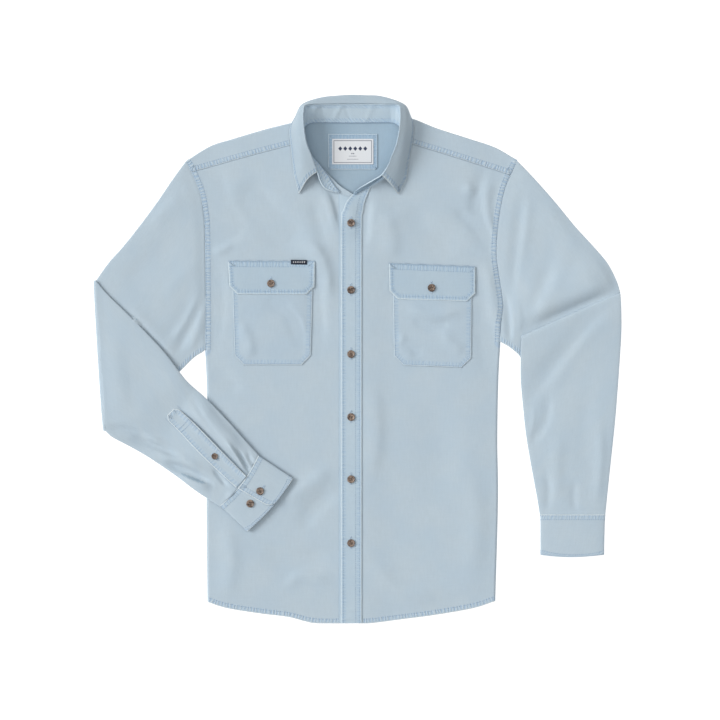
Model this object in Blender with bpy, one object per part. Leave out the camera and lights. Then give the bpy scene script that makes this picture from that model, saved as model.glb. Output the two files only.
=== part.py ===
"""A denim shirt laid flat on its back, buttoned below an open neck.

The tables and named sizes are in millimetres, and MM turns them into metres. +Z is up
from the surface that the shirt lies on, +Y runs to the collar, and +X is the wearer's
left. Every piece that a maker cuts and sews on is an object of its own. Right and left
in the names are the wearer's.
"""
import math

import bmesh
import bpy
from mathutils import Vector

MM = 0.001

# ---- driving sizes -------------------------------------------------------------------
CLOTH = 1.0            # one layer of denim
STIFF = 1.5            # two layers with interlining: collar, stand and cuffs
SEAM = 0.3             # air between one piece and the next at a seam
LAY = 0.45             # air under a piece that lies on another, where their facets differ
LAYER = CLOTH + LAY    # from one panel's face to the same face of the panel on it
SHIRT_BUTTON = 5.75    # radius of a front button
GAUNTLET_BUTTON = 4.65
BUTTON_THICK = 2.4
BUTTON_EDGE = 0.5
BUTTON_SIDES = 14
LABEL_THICK = 0.6

# ---- how the fronts swell over the back ----------------------------------------------
SIDE_X = (-225.0, 211.0)   # side seams, wearer's right and left
HEM_Y = -388.0
SIDE_FALL = 55.0
HEM_FALL = 60.0
BODY_SWELL = 1.6
NECK_SWELL = 2.0
NECK_CENTRE = (-8.0, 292.0)
NECK_REACH = 105.0
CENTRE_LIFT = 50.0         # how far the left front takes to come down from the placket
PLACKET_X = 8.0

# ---- outlines, each a run of points (x, y) -------------------------------------------
SIDE_R = [(-222, -360.5), (-223.5, -209.5), (-222.5, -61.5), (-225.5, 12.5)]
SIDE_L = [(204, -359), (208, -209.5), (207, -120.5), (208.5, -32), (211.5, 24)]
ARMHOLE_R = [(-225.5, 12.5), (-225.5, 86.5), (-226.5, 187), (-229, 218.5), (-234, 245),
             (-246, 275.5), (-254.5, 290.5)]
ARMHOLE_L = [(211.5, 24), (212.5, 50), (216, 80), (210, 125), (206.5, 156), (209.5, 200.5),
             (217, 243.5), (227, 271.5), (237.5, 291)]
HEM_RIGHT = [(-222, -360.5), (-193, -369.5), (-143, -377.5), (-103, -382.5), (-77.5, -389),
             (-58.5, -392), (-0.8, -392)]
HEM_LEFT = [(1.5, -392), (21.5, -391.5), (69, -385.5), (114.5, -379.5), (171, -369.5),
            (204, -359)]
YOKE_SEAM_R = [(-246, 275.5), (-164, 298.5), (-82, 320)]
YOKE_SEAM_L = [(64, 322.5), (145, 297.5), (227, 271.5)]
NECK_R = [(-82, 320), (-72, 304), (-58.5, 289.5), (-42, 271.5), (-26, 255.5), (-9.5, 245),
          (-0.8, 239)]
NECK_L = [(1.5, 243.5), (18.5, 254), (37.5, 265.5), (52.5, 286.5), (61.5, 305.5),
          (64, 322.5)]
BACK_YOKE_Y = 237.5
SHOULDER_R = [(-80.5, 353), (-135.5, 339.5), (-184.5, 325), (-218.5, 314), (-253.6, 292.5)]
SHOULDER_L = [(66, 357.5), (83.6, 354.3), (101.4, 347.2), (120.5, 339.7), (166.5, 325),
              (203.5, 312.5), (236.6, 293.5)]

# ---- yoke: lines from the neck to the outer edge, each side from its front seam back --
# neck x, neck y, outer x, outer y
YOKE_BACK = [
    (-78.0, 348.6, -242.0, 268.0), (-72.0, 348.4, -236.0, 253.0),
    (-66.0, 348.3, -231.8, 237.5), (-52.0, 348.2, -175.0, 237.5),
    (-35.0, 348.1, -115.0, 237.5), (-9.0, 347.8, -8.0, 237.5), (18.0, 348.1, 98.0, 237.5),
    (35.0, 348.2, 158.0, 237.5), (50.0, 348.3, 214.4, 237.5), (56.0, 348.4, 218.5, 251.0),
    (62.0, 348.6, 223.5, 266.0)]
YOKE_FOLD_TURNS = (0.0, 50.0, 90.0, 130.0, 180.0)

# ---- collar stand: from its seam on the body to its top edge -------------------------
# seam x, seam y, cloth below it, top x, top y, top z
STAND = [
    (-26.0, 247.5, "flat", -27.5, 245.0, 8.0), (-32.5, 254.5, "flat", -37.0, 246.5, 11.0),
    (-39.0, 264.0, "flat", -48.0, 251.0, 13.8), (-46.5, 275.5, "flat", -55.0, 261.0, 16.5),
    (-57.0, 288.0, "front", -60.0, 276.0, 21.0), (-70.0, 302.0, "front", -67.5, 297.0, 27.0),
    (-80.0, 319.0, "front", -75.5, 319.0, 32.0), (-82.0, 336.0, "front", -79.0, 344.0, 33.0),
    (-75.2, 345.0, "fold", -78.5, 362.0, 31.0), (-66.0, 348.8, "back", -72.0, 372.5, 26.5),
    (-48.0, 348.8, "back", -52.0, 375.5, 22.0), (-28.0, 348.6, "back", -29.0, 376.0, 20.0),
    (-9.0, 348.4, "back", -9.5, 376.5, 19.5), (12.0, 348.6, "back", 11.0, 376.0, 20.0),
    (32.0, 348.8, "back", 34.0, 375.5, 22.0), (50.0, 348.8, "back", 56.0, 372.5, 26.5),
    (60.0, 345.0, "fold", 62.5, 362.0, 31.0), (65.5, 336.0, "front", 62.5, 344.0, 33.0),
    (64.5, 319.0, "front", 58.5, 319.0, 32.0), (58.0, 301.0, "front", 51.5, 300.5, 29.5),
    (48.5, 285.0, "placket", 45.5, 285.0, 27.0), (37.0, 269.5, "placket", 35.0, 270.5, 25.0),
    (24.5, 260.0, "placket", 22.0, 262.5, 23.0), (12.5, 252.0, "placket", 9.5, 255.5, 19.0),
    (1.5, 245.4, "placket", -1.5, 249.0, 13.0), (-4.5, 241.6, "placket", -6.5, 244.0, 10.4)]
STAND_FOOT = {"flat": CLOTH + 1.2, "front": CLOTH + 0.8, "placket": 2 * LAYER + CLOTH + 1.05}
STAND_FOOT_BACK = 2.2
STAND_FOOT_FOLD = 4.0

# ---- collar leaf: from the roll on the stand, over its middle, to its free edge ------
# roll x, y, z; middle x, y, z; edge x, y, z
LEAF = [
    (-60.0, 275.0, 22.6, -74.0, 264.0, 19.0, -86.5, 243.5, 8.6),
    (-67.5, 297.0, 28.6, -81.5, 286.0, 23.5, -93.5, 270.0, 8.6),
    (-75.5, 319.0, 33.6, -88.0, 314.5, 27.0, -97.5, 305.5, 8.4),
    (-79.0, 344.0, 34.6, -91.0, 343.5, 27.5, -100.0, 339.5, 7.4),
    (-78.5, 362.0, 32.6, -87.0, 365.5, 23.0, -88.0, 361.5, 3.0),
    (-72.0, 372.5, 28.1, -77.0, 376.8, 18.0, -77.0, 372.5, 1.4),
    (-52.0, 375.5, 23.6, -53.5, 385.0, 15.0, -53.5, 381.5, 1.2),
    (-29.0, 376.0, 21.6, -29.5, 387.6, 13.6, -29.5, 384.5, 1.2),
    (-9.5, 376.5, 21.1, -9.5, 388.8, 13.2, -9.5, 385.5, 1.2),
    (11.0, 376.0, 21.6, 11.0, 388.2, 13.6, 11.0, 385.0, 1.2),
    (34.0, 375.5, 23.6, 35.0, 386.8, 15.0, 34.5, 382.5, 1.2),
    (56.0, 372.5, 28.1, 61.0, 377.8, 18.0, 61.0, 373.5, 1.4),
    (62.5, 362.0, 32.6, 73.5, 367.0, 23.0, 75.5, 362.5, 3.8),
    (62.5, 344.0, 34.6, 74.0, 344.0, 27.5, 83.0, 341.0, 7.4),
    (58.5, 319.0, 33.6, 70.0, 315.0, 27.0, 79.0, 308.5, 8.4),
    (51.5, 300.5, 31.1, 64.5, 293.0, 24.0, 75.0, 285.0, 8.6),
    (45.5, 285.0, 28.6, 59.0, 275.0, 21.0, 71.5, 264.0, 8.6),
    (36.5, 269.5, 27.0, 49.5, 256.5, 19.5, 60.5, 242.5, 8.6)]
LEAF_STEPS = 5
ROLL_GAP = 0.25

# ---- placket and the button stand under it -------------------------------------------
PLACKET_RIGHT_EDGE = [(-24.5, -391.6), (-24.5, 86.5), (-24.5, 203.5), (-21, 220), (-16, 233),
                      (-8, 242.5)]
PLACKET_LEFT_EDGE = [(6.5, -391.6), (6.5, 86.5), (6.7, 200.5), (8.5, 217), (11.5, 233),
                     (20.5, 255)]
BUTTON_STAND_RIGHT_EDGE = [(-27.5, -391.4), (-27.5, 86.5), (-27.5, 243.5)]
BUTTON_STAND_LEFT_EDGE = [(-1.0, -391.4), (-1.0, 86.5), (-1.0, 235)]

# ---- sleeves: sections from the armhole to the cuff -----------------------------------
# outer edge x, y; underarm edge x, y; half thickness; share of the armhole's curve (below
# the elbow, how far the section is bowed towards the cuff)
SLEEVE_RIGHT_UPPER = [
    (-255.3, 290.2, -226.2, 12.3, 2.0, 1.00), (-273.0, 266.0, -229.5, 9.5, 2.4, 0.80),
    (-297.5, 230.0, -243.0, 0.5, 2.4, 0.45), (-323.5, 195.0, -268.0, -24.0, 2.4, 0.15),
    (-347.5, 165.0, -302.0, -54.0, 2.4, 0.0), (-368.0, 142.0, -338.0, -82.0, 2.3, 0.0)]
SLEEVE_RIGHT_FOLD = (-387.0, 115.5, -373.0, -107.0, 2.0)   # the section that is turned over
FOLD_TURNS = (0.0, 45.0, 90.0, 135.0, 180.0)
SLEEVE_RIGHT_FOREARM = [
    (-378.0, 104.0, -361.5, -117.0, 2.05, 0.0), (-366.0, 91.0, -338.0, -129.5, 2.1, 0.0),
    (-340.0, 66.0, -312.5, -144.0, 2.2, 0.0), (-311.0, 37.0, -287.5, -160.5, 2.2, 0.0),
    (-283.0, 6.5, -264.5, -176.5, 2.2, 0.0), (-253.5, -32.0, -247.0, -190.0, 2.2, 0.0),
    (-225.0, -58.0, -232.0, -200.5, 2.3, 0.0),
    (-197.0, -86.5, -219.5, -208.5, 2.4, 1.0), (-170.0, -116.5, -211.0, -214.5, 2.6, 3.5),
    (-146.6, -142.3, -204.6, -218.4, 2.8, 5.5)]
SLEEVE_LEFT = [
    (238.4, 290.6, 212.4, 24.0, 2.0, 1.00), (262.0, 266.0, 217.0, 21.5, 2.4, 0.80),
    (292.0, 232.0, 224.0, 17.5, 2.5, 0.45), (322.0, 195.5, 231.0, 12.5, 2.5, 0.20),
    (349.0, 166.0, 237.5, 7.0, 2.6, 0.0), (370.0, 141.0, 240.5, 0.0, 2.8, 0.0),
    (383.0, 115.0, 241.2, -8.0, 3.0, 0.0), (389.0, 92.0, 241.4, -18.0, 3.2, 0.0),
    (390.5, 62.0, 241.6, -34.0, 3.2, 0.0), (390.0, 31.0, 243.5, -56.0, 2.9, 0.0),
    (387.5, -8.0, 245.6, -80.0, 2.7, 0.0), (385.0, -44.0, 249.0, -110.0, 2.7, 0.0),
    (381.0, -92.0, 254.7, -146.0, 2.6, 0.0), (376.0, -140.0, 260.5, -178.0, 2.6, 0.0),
    (371.0, -187.0, 265.5, -205.0, 2.7, 0.0), (366.6, -230.2, 269.5, -230.2, 2.8, 0.0)]
LEFT_RAISED_FROM = -20.0     # beyond here the left forearm lies on its gauntlet and buttons
LEFT_RAISED_BY = 4.6
LEFT_CUFF_RAISED_BY = 2.8
RAISE_FALL = 70.0
RING_SIDES = 20
REST_FALL = 24.0             # how far beyond a layer the forearm takes to sag to the surface
ARM_TOP = 5.1                # upper face of the flattened upper arm
WRIST_HALF = 2.8             # half thickness of the flattened sleeve at its cuff
FOREARM_CLEAR = 0.5

# ---- cuffs: the two ends of the seam, then of the free edge ---------------------------
CUFF_RIGHT = ((-146.2, -142.8), (-204.2, -218.9), (-94.5, -177.0), (-163.5, -257.0))
CUFF_LEFT = ((366.6, -230.6), (269.0, -230.6), (365.0, -290.5), (269.3, -291.0))
CUFF_BOWS = {"right": (5.5, 4.0), "left": (0.0, 3.0)}   # the curve of the seam and of the edge
CUFF_HALF = 3.6
CUFF_TURNS = 30
CUFF_OVERLAP = 0.12          # share of the way round where the two ends lie on each other
CUFF_LAP_AT = 0.60           # where the upper end stops, from the outer edge

# ---- small flat pieces, their outlines (x, y) ------------------------------------------
GAUNTLET_SPINE = [(-276.5, -79.0), (-253.0, -101.5), (-226.5, -129.0), (-198.5, -157.0),
                  (-171.8, -182.2)]
GAUNTLET_HALF_WIDTH = (11.5, 13.0, 13.0, 12.5, 11.5)
GAUNTLET_LEFT_SPINE = [(297.5, -80.0), (303.0, -112.0), (307.0, -150.0), (311.0, -190.0),
                       (314.0, -228.0)]
POCKET_RIGHT = {"left": (-185.5, -182.0), "right": (-66.0, -69.5), "top": (118.0, 118.0),
                "bottom": (-9.5, -9.5), "cut": 14.0}
POCKET_LEFT = {"left": (52.5, 54.0), "right": (169.5, 168.0), "top": (115.0, 112.5),
               "bottom": (-10.0, -13.5), "cut": 14.0}
FLAP_RIGHT = {"left": (-191.5, -189.5), "right": (-63.0, -64.0), "top": (144.5, 144.0),
              "bottom": (95.0, 94.5), "cut": 12.0}
FLAP_LEFT = {"left": (46.5, 47.5), "right": (174.5, 174.0), "top": (141.0, 136.0),
             "bottom": (88.0, 84.5), "cut": 12.0}
FLAP_TAB = {"left": (-98.5, -98.5), "right": (-74.5, -74.5), "top": (146.0, 145.6),
            "bottom": (139.2, 138.8), "cut": 0.0}
NECK_PATCH = {"left": (-43.5, -43.5), "right": (29.5, 29.5), "top": (332.5, 332.5),
              "bottom": (279.5, 279.5), "cut": 4.0}
NECK_LABEL = {"left": (-37.5, -37.5), "right": (23.5, 23.5), "top": (325.0, 325.0),
              "bottom": (287.5, 287.5), "cut": 0.0}

# ---- buttons: name, x, y, radius, what it lies on --------------------------------------
FRONT_BUTTON_X = -9.5
FRONT_BUTTON_Y = (200.5, 101.5, 6.5, -86.5, -178.5, -273.0)
FLAP_BUTTONS = (("right_flap_button", -128.0, 111.0), ("left_flap_button", 109.5, 104.5))
RIGHT_CUFF_BUTTONS = (("right_cuff_button_1", -144.0, -196.0),
                      ("right_cuff_button_2", -158.6, -214.4))
LEFT_CUFF_BUTTONS = (("left_cuff_button_1", 330.0, -262.0), ("left_cuff_button_2", 306.0, -262.0))
RIGHT_GAUNTLET_BUTTON = (-211.0, -144.5)
LEFT_GAUNTLET_BUTTON = (307.5, -155.0)
COLLAR_BUTTON_AT = (2, 0.66)    # row of the stand table, and how far up that row


# ---- small tools -----------------------------------------------------------------------
def smooth(value):
    """0 up to 1 with flat ends."""
    value = min(1.0, max(0.0, value))
    return value * value * (3.0 - 2.0 * value)


def mix(a, b, share):
    return a + (b - a) * share


class Path:
    """A smooth curve through points, read by its share of the length."""

    def __init__(self, points, fine=12):
        points = [Vector(tuple(p) + (0.0,) * (3 - len(p))) for p in points]
        ends = [points[0] * 2 - points[1]] + points + [points[-1] * 2 - points[-2]]
        self.line = [points[0]]
        for a, b, c, d in zip(ends, ends[1:], ends[2:], ends[3:]):
            for k in range(1, fine + 1):
                t = k / fine
                self.line.append(0.5 * (2 * b + (c - a) * t + (2 * a - 5 * b + 4 * c - d) * t ** 2
                                        + (3 * b - a - 3 * c + d) * t ** 3))
        self.run = [0.0]
        for a, b in zip(self.line, self.line[1:]):
            self.run.append(self.run[-1] + (b - a).length)

    def at(self, share):
        """The point at a share of the length, from 0 to 1."""
        want = share * self.run[-1]
        for k in range(1, len(self.run)):
            if self.run[k] >= want or k == len(self.run) - 1:
                step = self.run[k] - self.run[k - 1]
                return self.line[k - 1].lerp(self.line[k], min(1.0, (want - self.run[k - 1]) / step))
        return self.line[-1].copy()

    def spread(self, count):
        """count + 1 points, evenly spaced."""
        return [self.at(k / count) for k in range(count + 1)]


def joined(*runs):
    """Several runs of points end to end, without the points that they share."""
    points = list(runs[0])
    for run in runs[1:]:
        points += run[1:]
    return points


def patch(bottom, top, left, right):
    """Rows of points that fill the space between four edges of matching counts."""
    across, up = len(bottom) - 1, len(left) - 1
    rows = []
    for j in range(up + 1):
        v = j / up
        row = []
        for i in range(across + 1):
            u = i / across
            ruled = mix(bottom[i], top[i], v) + mix(left[j], right[j], u)
            corners = mix(mix(bottom[0], bottom[-1], u), mix(top[0], top[-1], u), v)
            row.append(ruled - corners)
        rows.append(row)
    return rows


# ---- heights of the layers -------------------------------------------------------------
def front_under(x, y):
    """Under face of the single front layer."""
    side = smooth((x - SIDE_X[0]) / SIDE_FALL) * smooth((SIDE_X[1] - x) / SIDE_FALL)
    hem = smooth((y - HEM_Y) / HEM_FALL)
    near = ((x - NECK_CENTRE[0]) ** 2 + (y - NECK_CENTRE[1]) ** 2) / (2 * NECK_REACH ** 2)
    return LAYER + side * hem * (BODY_SWELL + NECK_SWELL * math.exp(-near))


def left_front_under(x, y):
    """The left front is lifted at its edge, where it lies on the button stand."""
    return front_under(x, y) + LAYER * (1.0 - smooth((x - PLACKET_X) / CENTRE_LIFT))


def beyond(line, x, y):
    """Distance from a line of points, and below 0 on the side that its run has on its left."""
    best, sign = 1e9, 1.0
    here = Vector((x, y))
    for a, b in zip(line, line[1:]):
        a, b = Vector(a), Vector(b)
        along = b - a
        share = min(1.0, max(0.0, (here - a).dot(along) / along.length_squared))
        gap = here - (a + along * share)
        if gap.length < best:
            best = gap.length
            sign = -1.0 if along.x * gap.y - along.y * gap.x > 0 else 1.0
    return best * sign


def right_forearm_under(x, y):
    """The right forearm lies on its own upper arm, on the surface and on the body."""
    underarm = [(section[2], section[3]) for section in SLEEVE_RIGHT_UPPER]
    underarm.append(SLEEVE_RIGHT_FOLD[2:4])
    on_arm = 1.0 - smooth(beyond(underarm[::-1], x, y) / REST_FALL)
    on_body = 1.0 - smooth((SIDE_X[0] + 1.5 - x) / REST_FALL)
    body_top = front_under(x, y) + CLOTH + FOREARM_CLEAR
    return max(ARM_TOP * on_arm, body_top * on_body)


def left_forearm_under(x, y):
    return LEFT_RAISED_BY * smooth((LEFT_RAISED_FROM - y) / RAISE_FALL)


# ---- making objects --------------------------------------------------------------------
def finish(name, verts, faces, material):
    """One closed mesh object, its faces turned outwards."""
    mesh = bpy.data.meshes.new(name)
    mesh.from_pydata([v * MM for v in verts], [], faces)
    form = bmesh.new()
    form.from_mesh(mesh)
    bmesh.ops.recalc_face_normals(form, faces=form.faces)
    form.to_mesh(mesh)
    form.free()
    mesh.materials.append(material)
    mesh.shade_smooth()
    mesh.set_sharp_from_angle(angle=math.radians(40))
    thing = bpy.data.objects.new(name, mesh)
    bpy.context.scene.collection.objects.link(thing)
    return thing


def between(name, low, high, material, wrap=False):
    """A wall between two grids of points; wrap closes the rows into rings."""
    rows, columns = len(low), len(low[0])
    verts = [p for row in low for p in row] + [p for row in high for p in row]
    upper = rows * columns
    faces = []

    def corner(j, i, level):
        return level * upper + j * columns + i % columns

    steps = columns if wrap else columns - 1
    for j in range(rows - 1):
        for i in range(steps):
            for level in (0, 1):
                quad = [corner(j, i, level), corner(j, i + 1, level),
                        corner(j + 1, i + 1, level), corner(j + 1, i, level)]
                faces.append(quad if level else quad[::-1])
        if not wrap:
            for i in (0, columns - 1):
                faces.append([corner(j, i, 0), corner(j, i, 1),
                              corner(j + 1, i, 1), corner(j + 1, i, 0)])
    for j in (0, rows - 1):
        for i in range(steps):
            faces.append([corner(j, i, 0), corner(j, i + 1, 0),
                          corner(j, i + 1, 1), corner(j, i, 1)])
    return finish(name, verts, faces, material)


def face_normals(rows):
    """A normal at each point of a grid of the middle of a wall."""
    normals = []
    for j, row in enumerate(rows):
        line = []
        for i in range(len(row)):
            along = row[min(i + 1, len(row) - 1)] - row[max(i - 1, 0)]
            down = rows[min(j + 1, len(rows) - 1)][i] - rows[max(j - 1, 0)][i]
            line.append(along.cross(down).normalized())
        normals.append(line)
    return normals


def wall_round(name, rows, thick, material):
    """A wall of one thickness about the grid of its middle."""
    normals = face_normals(rows)
    half = thick / 2
    low = [[p - n * half for p, n in zip(r, m)] for r, m in zip(rows, normals)]
    high = [[p + n * half for p, n in zip(r, m)] for r, m in zip(rows, normals)]
    return between(name, low, high, material)


def laid(name, rows, under, thick, material):
    """A flat piece laid on whatever has its upper face at under(x, y)."""
    low = [[Vector((p.x, p.y, under(p.x, p.y))) for p in row] for row in rows]
    high = [[p + Vector((0, 0, thick)) for p in row] for row in low]
    return between(name, low, high, material)


# ---- the body --------------------------------------------------------------------------
def make_back(denim):
    """The back panel, flat on the surface, up to the back yoke seam."""
    right = [p for p in Path(joined(SIDE_R, ARMHOLE_R)).spread(40) if p.y < BACK_YOKE_Y - SEAM]
    left = [p for p in Path(joined(SIDE_L, ARMHOLE_L)).spread(40) if p.y < BACK_YOKE_Y - SEAM]
    count = min(len(right), len(left))
    right = Path(right + [Vector((YOKE_BACK[2][2], BACK_YOKE_Y - SEAM, 0))]).spread(count)
    left = Path(left + [Vector((YOKE_BACK[-3][2], BACK_YOKE_Y - SEAM, 0))]).spread(count)
    hem = Path(HEM_RIGHT).spread(10) + Path(HEM_LEFT).spread(10)
    top = [right[-1].lerp(left[-1], k / 21) for k in range(22)]
    rim = hem + left[1:] + top[::-1][1:] + right[::-1][1:-1]
    verts = rim + [p + Vector((0, 0, CLOTH)) for p in rim]
    count = len(rim)
    sides = [[k, (k + 1) % count, (k + 1) % count + count, k + count] for k in range(count)]
    caps = [list(range(count))[::-1], list(range(count, 2 * count))]
    return finish("back", verts, sides + caps, denim)


def make_fronts(denim):
    """Two fronts, from the hem to the yoke seam and the neck."""
    across_yoke, across_neck, up_side, up_arm = 7, 7, 12, 9
    across = across_yoke + across_neck
    up = up_side + up_arm
    right = patch(Path(HEM_RIGHT).spread(across),
                  joined(Path(YOKE_SEAM_R).spread(across_yoke), Path(NECK_R).spread(across_neck)),
                  joined(Path(SIDE_R).spread(up_side), Path(ARMHOLE_R[:-1]).spread(up_arm)),
                  Path([HEM_RIGHT[-1], NECK_R[-1]]).spread(up))
    laid("right_front", right, front_under, CLOTH, denim)
    left = patch(Path(HEM_LEFT).spread(across),
                 joined(Path(NECK_L).spread(across_neck), Path(YOKE_SEAM_L).spread(across_yoke)),
                 Path([HEM_LEFT[0], NECK_L[0]]).spread(up),
                 joined(Path(SIDE_L).spread(up_side), Path(ARMHOLE_L[:-1]).spread(up_arm)))
    laid("left_front", left, left_front_under, CLOTH, denim)


def yoke_side(seam, shoulder, under):
    """Rows of one side of the yoke, from its front seam over the shoulder to the back."""
    steps = 7
    seam_line = Path([(x, y + SEAM * 1.3) for x, y in seam]).spread(steps)
    fold_line = Path(shoulder).spread(steps)
    rows = []
    for share in (0.0, 0.4, 0.8):
        row = []
        for a, b in zip(seam_line, fold_line):
            p = a.lerp(b, share)
            row.append((Vector((p.x, p.y, under(p.x, p.y) + CLOTH / 2)), Vector((0, 0, 1))))
        rows.append(row)
    for turn in YOKE_FOLD_TURNS:
        angle = math.radians(turn)
        row = []
        for k, p in enumerate(fold_line):
            along = fold_line[min(k + 1, steps)] - fold_line[max(k - 1, 0)]
            out = Vector((-along.y, along.x, 0)).normalized()
            out = out if out.y > 0 else -out
            radius = under(p.x, p.y) / 2
            middle = p - out * (radius + CLOTH / 2)
            row.append((middle + out * radius * math.sin(angle)
                        + Vector((0, 0, CLOTH / 2 + radius * (1 + math.cos(angle)))),
                        out * math.sin(angle) + Vector((0, 0, math.cos(angle)))))
        rows.append(row)
    return rows


def make_yoke(denim):
    """One piece that lies on the back, folds over both shoulders and ends on the fronts."""
    right = yoke_side(YOKE_SEAM_R[::-1], SHOULDER_R, front_under)
    left = yoke_side(YOKE_SEAM_L, SHOULDER_L, front_under)
    rows = list(right)
    for neck_x, neck_y, outer_x, outer_y in YOKE_BACK:
        line = Path([(neck_x, neck_y, CLOTH / 2), (outer_x, outer_y, CLOTH / 2)]).spread(7)
        rows.append([(p, Vector((0, 0, -1))) for p in line])
    rows += left[::-1]
    half = CLOTH / 2
    low = [[p - n * half for p, n in row] for row in rows]
    high = [[p + n * half for p, n in row] for row in rows]
    return between("yoke", low, high, denim)


def strip(right_edge, left_edge, up, across):
    """Rows between two long edges."""
    first, second = Path(right_edge).spread(up), Path(left_edge).spread(up)
    return [[a.lerp(b, k / across) for k in range(across + 1)] for a, b in zip(first, second)]


def make_placket(denim):
    laid("button_stand", strip(BUTTON_STAND_RIGHT_EDGE, BUTTON_STAND_LEFT_EDGE, 24, 2),
         lambda x, y: front_under(x, y) + LAYER, CLOTH, denim)
    laid("placket", strip(PLACKET_RIGHT_EDGE, PLACKET_LEFT_EDGE, 30, 2),
         lambda x, y: front_under(x, y) + 2 * LAYER, CLOTH, denim)


# ---- the collar ------------------------------------------------------------------------
def stand_foot(x, y, rests):
    if rests == "back":
        return STAND_FOOT_BACK
    if rests == "fold":
        return STAND_FOOT_FOLD
    return front_under(x, y) + STAND_FOOT[rests]


def stand_rows(steps=3):
    rows = []
    for x, y, rests, top_x, top_y, top_z in STAND:
        foot = Vector((x, y, stand_foot(x, y, rests)))
        top = Vector((top_x, top_y, top_z))
        rows.append([foot.lerp(top, k / steps) for k in range(steps + 1)])
    return rows


def make_collar(denim):
    wall_round("collar_stand", stand_rows(), STIFF, denim)
    rows = []
    for line in LEAF:
        rows.append(Path([line[0:2] + (line[2] + ROLL_GAP,), line[3:6], line[6:9]]).spread(LEAF_STEPS))
    wall_round("collar", rows, STIFF, denim)


# ---- sleeves and cuffs -----------------------------------------------------------------
def flat_ring(a, b, half, inset, upward, middle, bow):
    """One flattened section: points round it from edge a, over its upper face, to edge b."""
    across = (b - a).normalized()
    a, b, half = a + across * inset, b - across * inset, half - inset
    ring = []
    for k in range(RING_SIDES):
        turn = 2 * math.pi * k / RING_SIDES
        share = (1 - math.cos(turn)) / 2
        rise = half * math.copysign(abs(math.sin(turn)) ** 0.5, math.sin(turn))
        p = a.lerp(b, share) + bow(share)
        p.z += middle(p.x, p.y)
        ring.append(p + upward * rise)
    return ring


def straight(share):
    return Vector((0, 0, 0))


def armhole_bow(armhole, amount):
    """How far the armhole curves in from the straight line between its two ends."""
    path = Path(armhole[::-1])
    first, last = path.at(0.0), path.at(1.0)
    return lambda share: (path.at(share) - first.lerp(last, share)) * amount


def ring_pair(x1, y1, x2, y2, half, upward, middle, bow=straight):
    a, b = Vector((x1, y1, 0)), Vector((x2, y2, 0))
    return (flat_ring(a, b, half, 0.0, upward, middle, bow),
            flat_ring(a, b, half, CLOTH, upward, middle, bow))


def make_right_sleeve(denim):
    """Flat from the armhole to the elbow, then turned over, so that the forearm lies on it."""
    up = Vector((0, 0, 1))
    pairs = []
    for x1, y1, x2, y2, half, curve in SLEEVE_RIGHT_UPPER:
        pairs.append(ring_pair(x1, y1, x2, y2, half, up, lambda x, y, h=half: h,
                               armhole_bow(ARMHOLE_R, curve)))
    x1, y1, x2, y2, half = SLEEVE_RIGHT_FOLD
    low = half
    high = ARM_TOP + half
    radius = (high - low) / 2
    for turn in FOLD_TURNS:
        angle = math.radians(turn)
        shift = radius * math.sin(angle)
        rise = low + radius * (1 - math.cos(angle))
        normal = Vector((math.sin(angle), 0, math.cos(angle)))
        pairs.append(ring_pair(x1 - shift, y1, x2 - shift, y2, half, normal,
                               lambda x, y, z=rise: z))
    to_cuff = Vector((0.79, -0.61, 0))
    for x1, y1, x2, y2, half, bow in SLEEVE_RIGHT_FOREARM:
        pairs.append(ring_pair(x1, y1, x2, y2, half, -up,
                               lambda x, y, h=half: right_forearm_under(x, y) + h,
                               lambda share, b=bow: to_cuff * b * math.sin(math.pi * share)))
    return between("right_sleeve", [p[1] for p in pairs], [p[0] for p in pairs], denim, wrap=True)


def make_left_sleeve(denim):
    up = Vector((0, 0, 1))
    pairs = []
    for x1, y1, x2, y2, half, curve in SLEEVE_LEFT:
        pairs.append(ring_pair(x1, y1, x2, y2, half, up,
                               lambda x, y, h=half: left_forearm_under(x, y) + h,
                               armhole_bow(ARMHOLE_L, curve)))
    return between("left_sleeve", [p[1] for p in pairs], [p[0] for p in pairs], denim, wrap=True)


def make_cuff(side, corners, under, facing, denim):
    """A band wrapped round the wrist, its ends lapped on the face that carries the buttons."""
    seam_a, seam_b, free_a, free_b = [Vector(c + (0,)) for c in corners]
    steps = 4
    closing = STIFF + 0.5
    rows = []
    for j in range(steps + 1):
        v = j / steps
        a, b = seam_a.lerp(free_a, v), seam_b.lerp(free_b, v)
        across = (b - a).normalized()
        out = (free_a - seam_a).normalized()
        row = []
        for k in range(CUFF_TURNS + 1):
            s = k / CUFF_TURNS
            start = math.acos(1 - 2 * CUFF_LAP_AT)
            turn = start - s * 2 * math.pi * (1 + CUFF_OVERLAP)
            half = CUFF_HALF - STIFF / 2 - closing * s
            share = (1 - math.cos(turn)) / 2
            edge = STIFF / 2 + closing * s
            p = (a + across * edge).lerp(b - across * edge, share)
            p += out * mix(CUFF_BOWS[side][0], CUFF_BOWS[side][1], v) * math.sin(math.pi * share)
            rise = half * math.copysign(abs(math.sin(turn)) ** 0.6, math.sin(turn))
            p.z = under(p.x, p.y) + CUFF_HALF + facing * rise
            row.append(p)
        rows.append(row)
    return wall_round(side + "_cuff", rows, STIFF, denim)


def ribbon(spine, halves, steps):
    """Rows across a band that follows a spine."""
    path = Path(spine)
    width = Path([(k, h) for k, h in enumerate(halves)])
    rows = []
    for j in range(steps + 1):
        share = j / steps
        here = path.at(share)
        ahead = path.at(min(1.0, share + 0.02)) - path.at(max(0.0, share - 0.02))
        side = Vector((-ahead.y, ahead.x, 0)).normalized()
        half = width.at(share).y
        rows.append([here + side * half * k for k in (-1.0, 0.0, 1.0)])
    return rows


def forearm_top(x, y):
    """Upper face of the right forearm, with the seam's air on it."""
    return right_forearm_under(x, y) + 2 * WRIST_HALF + SEAM


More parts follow.
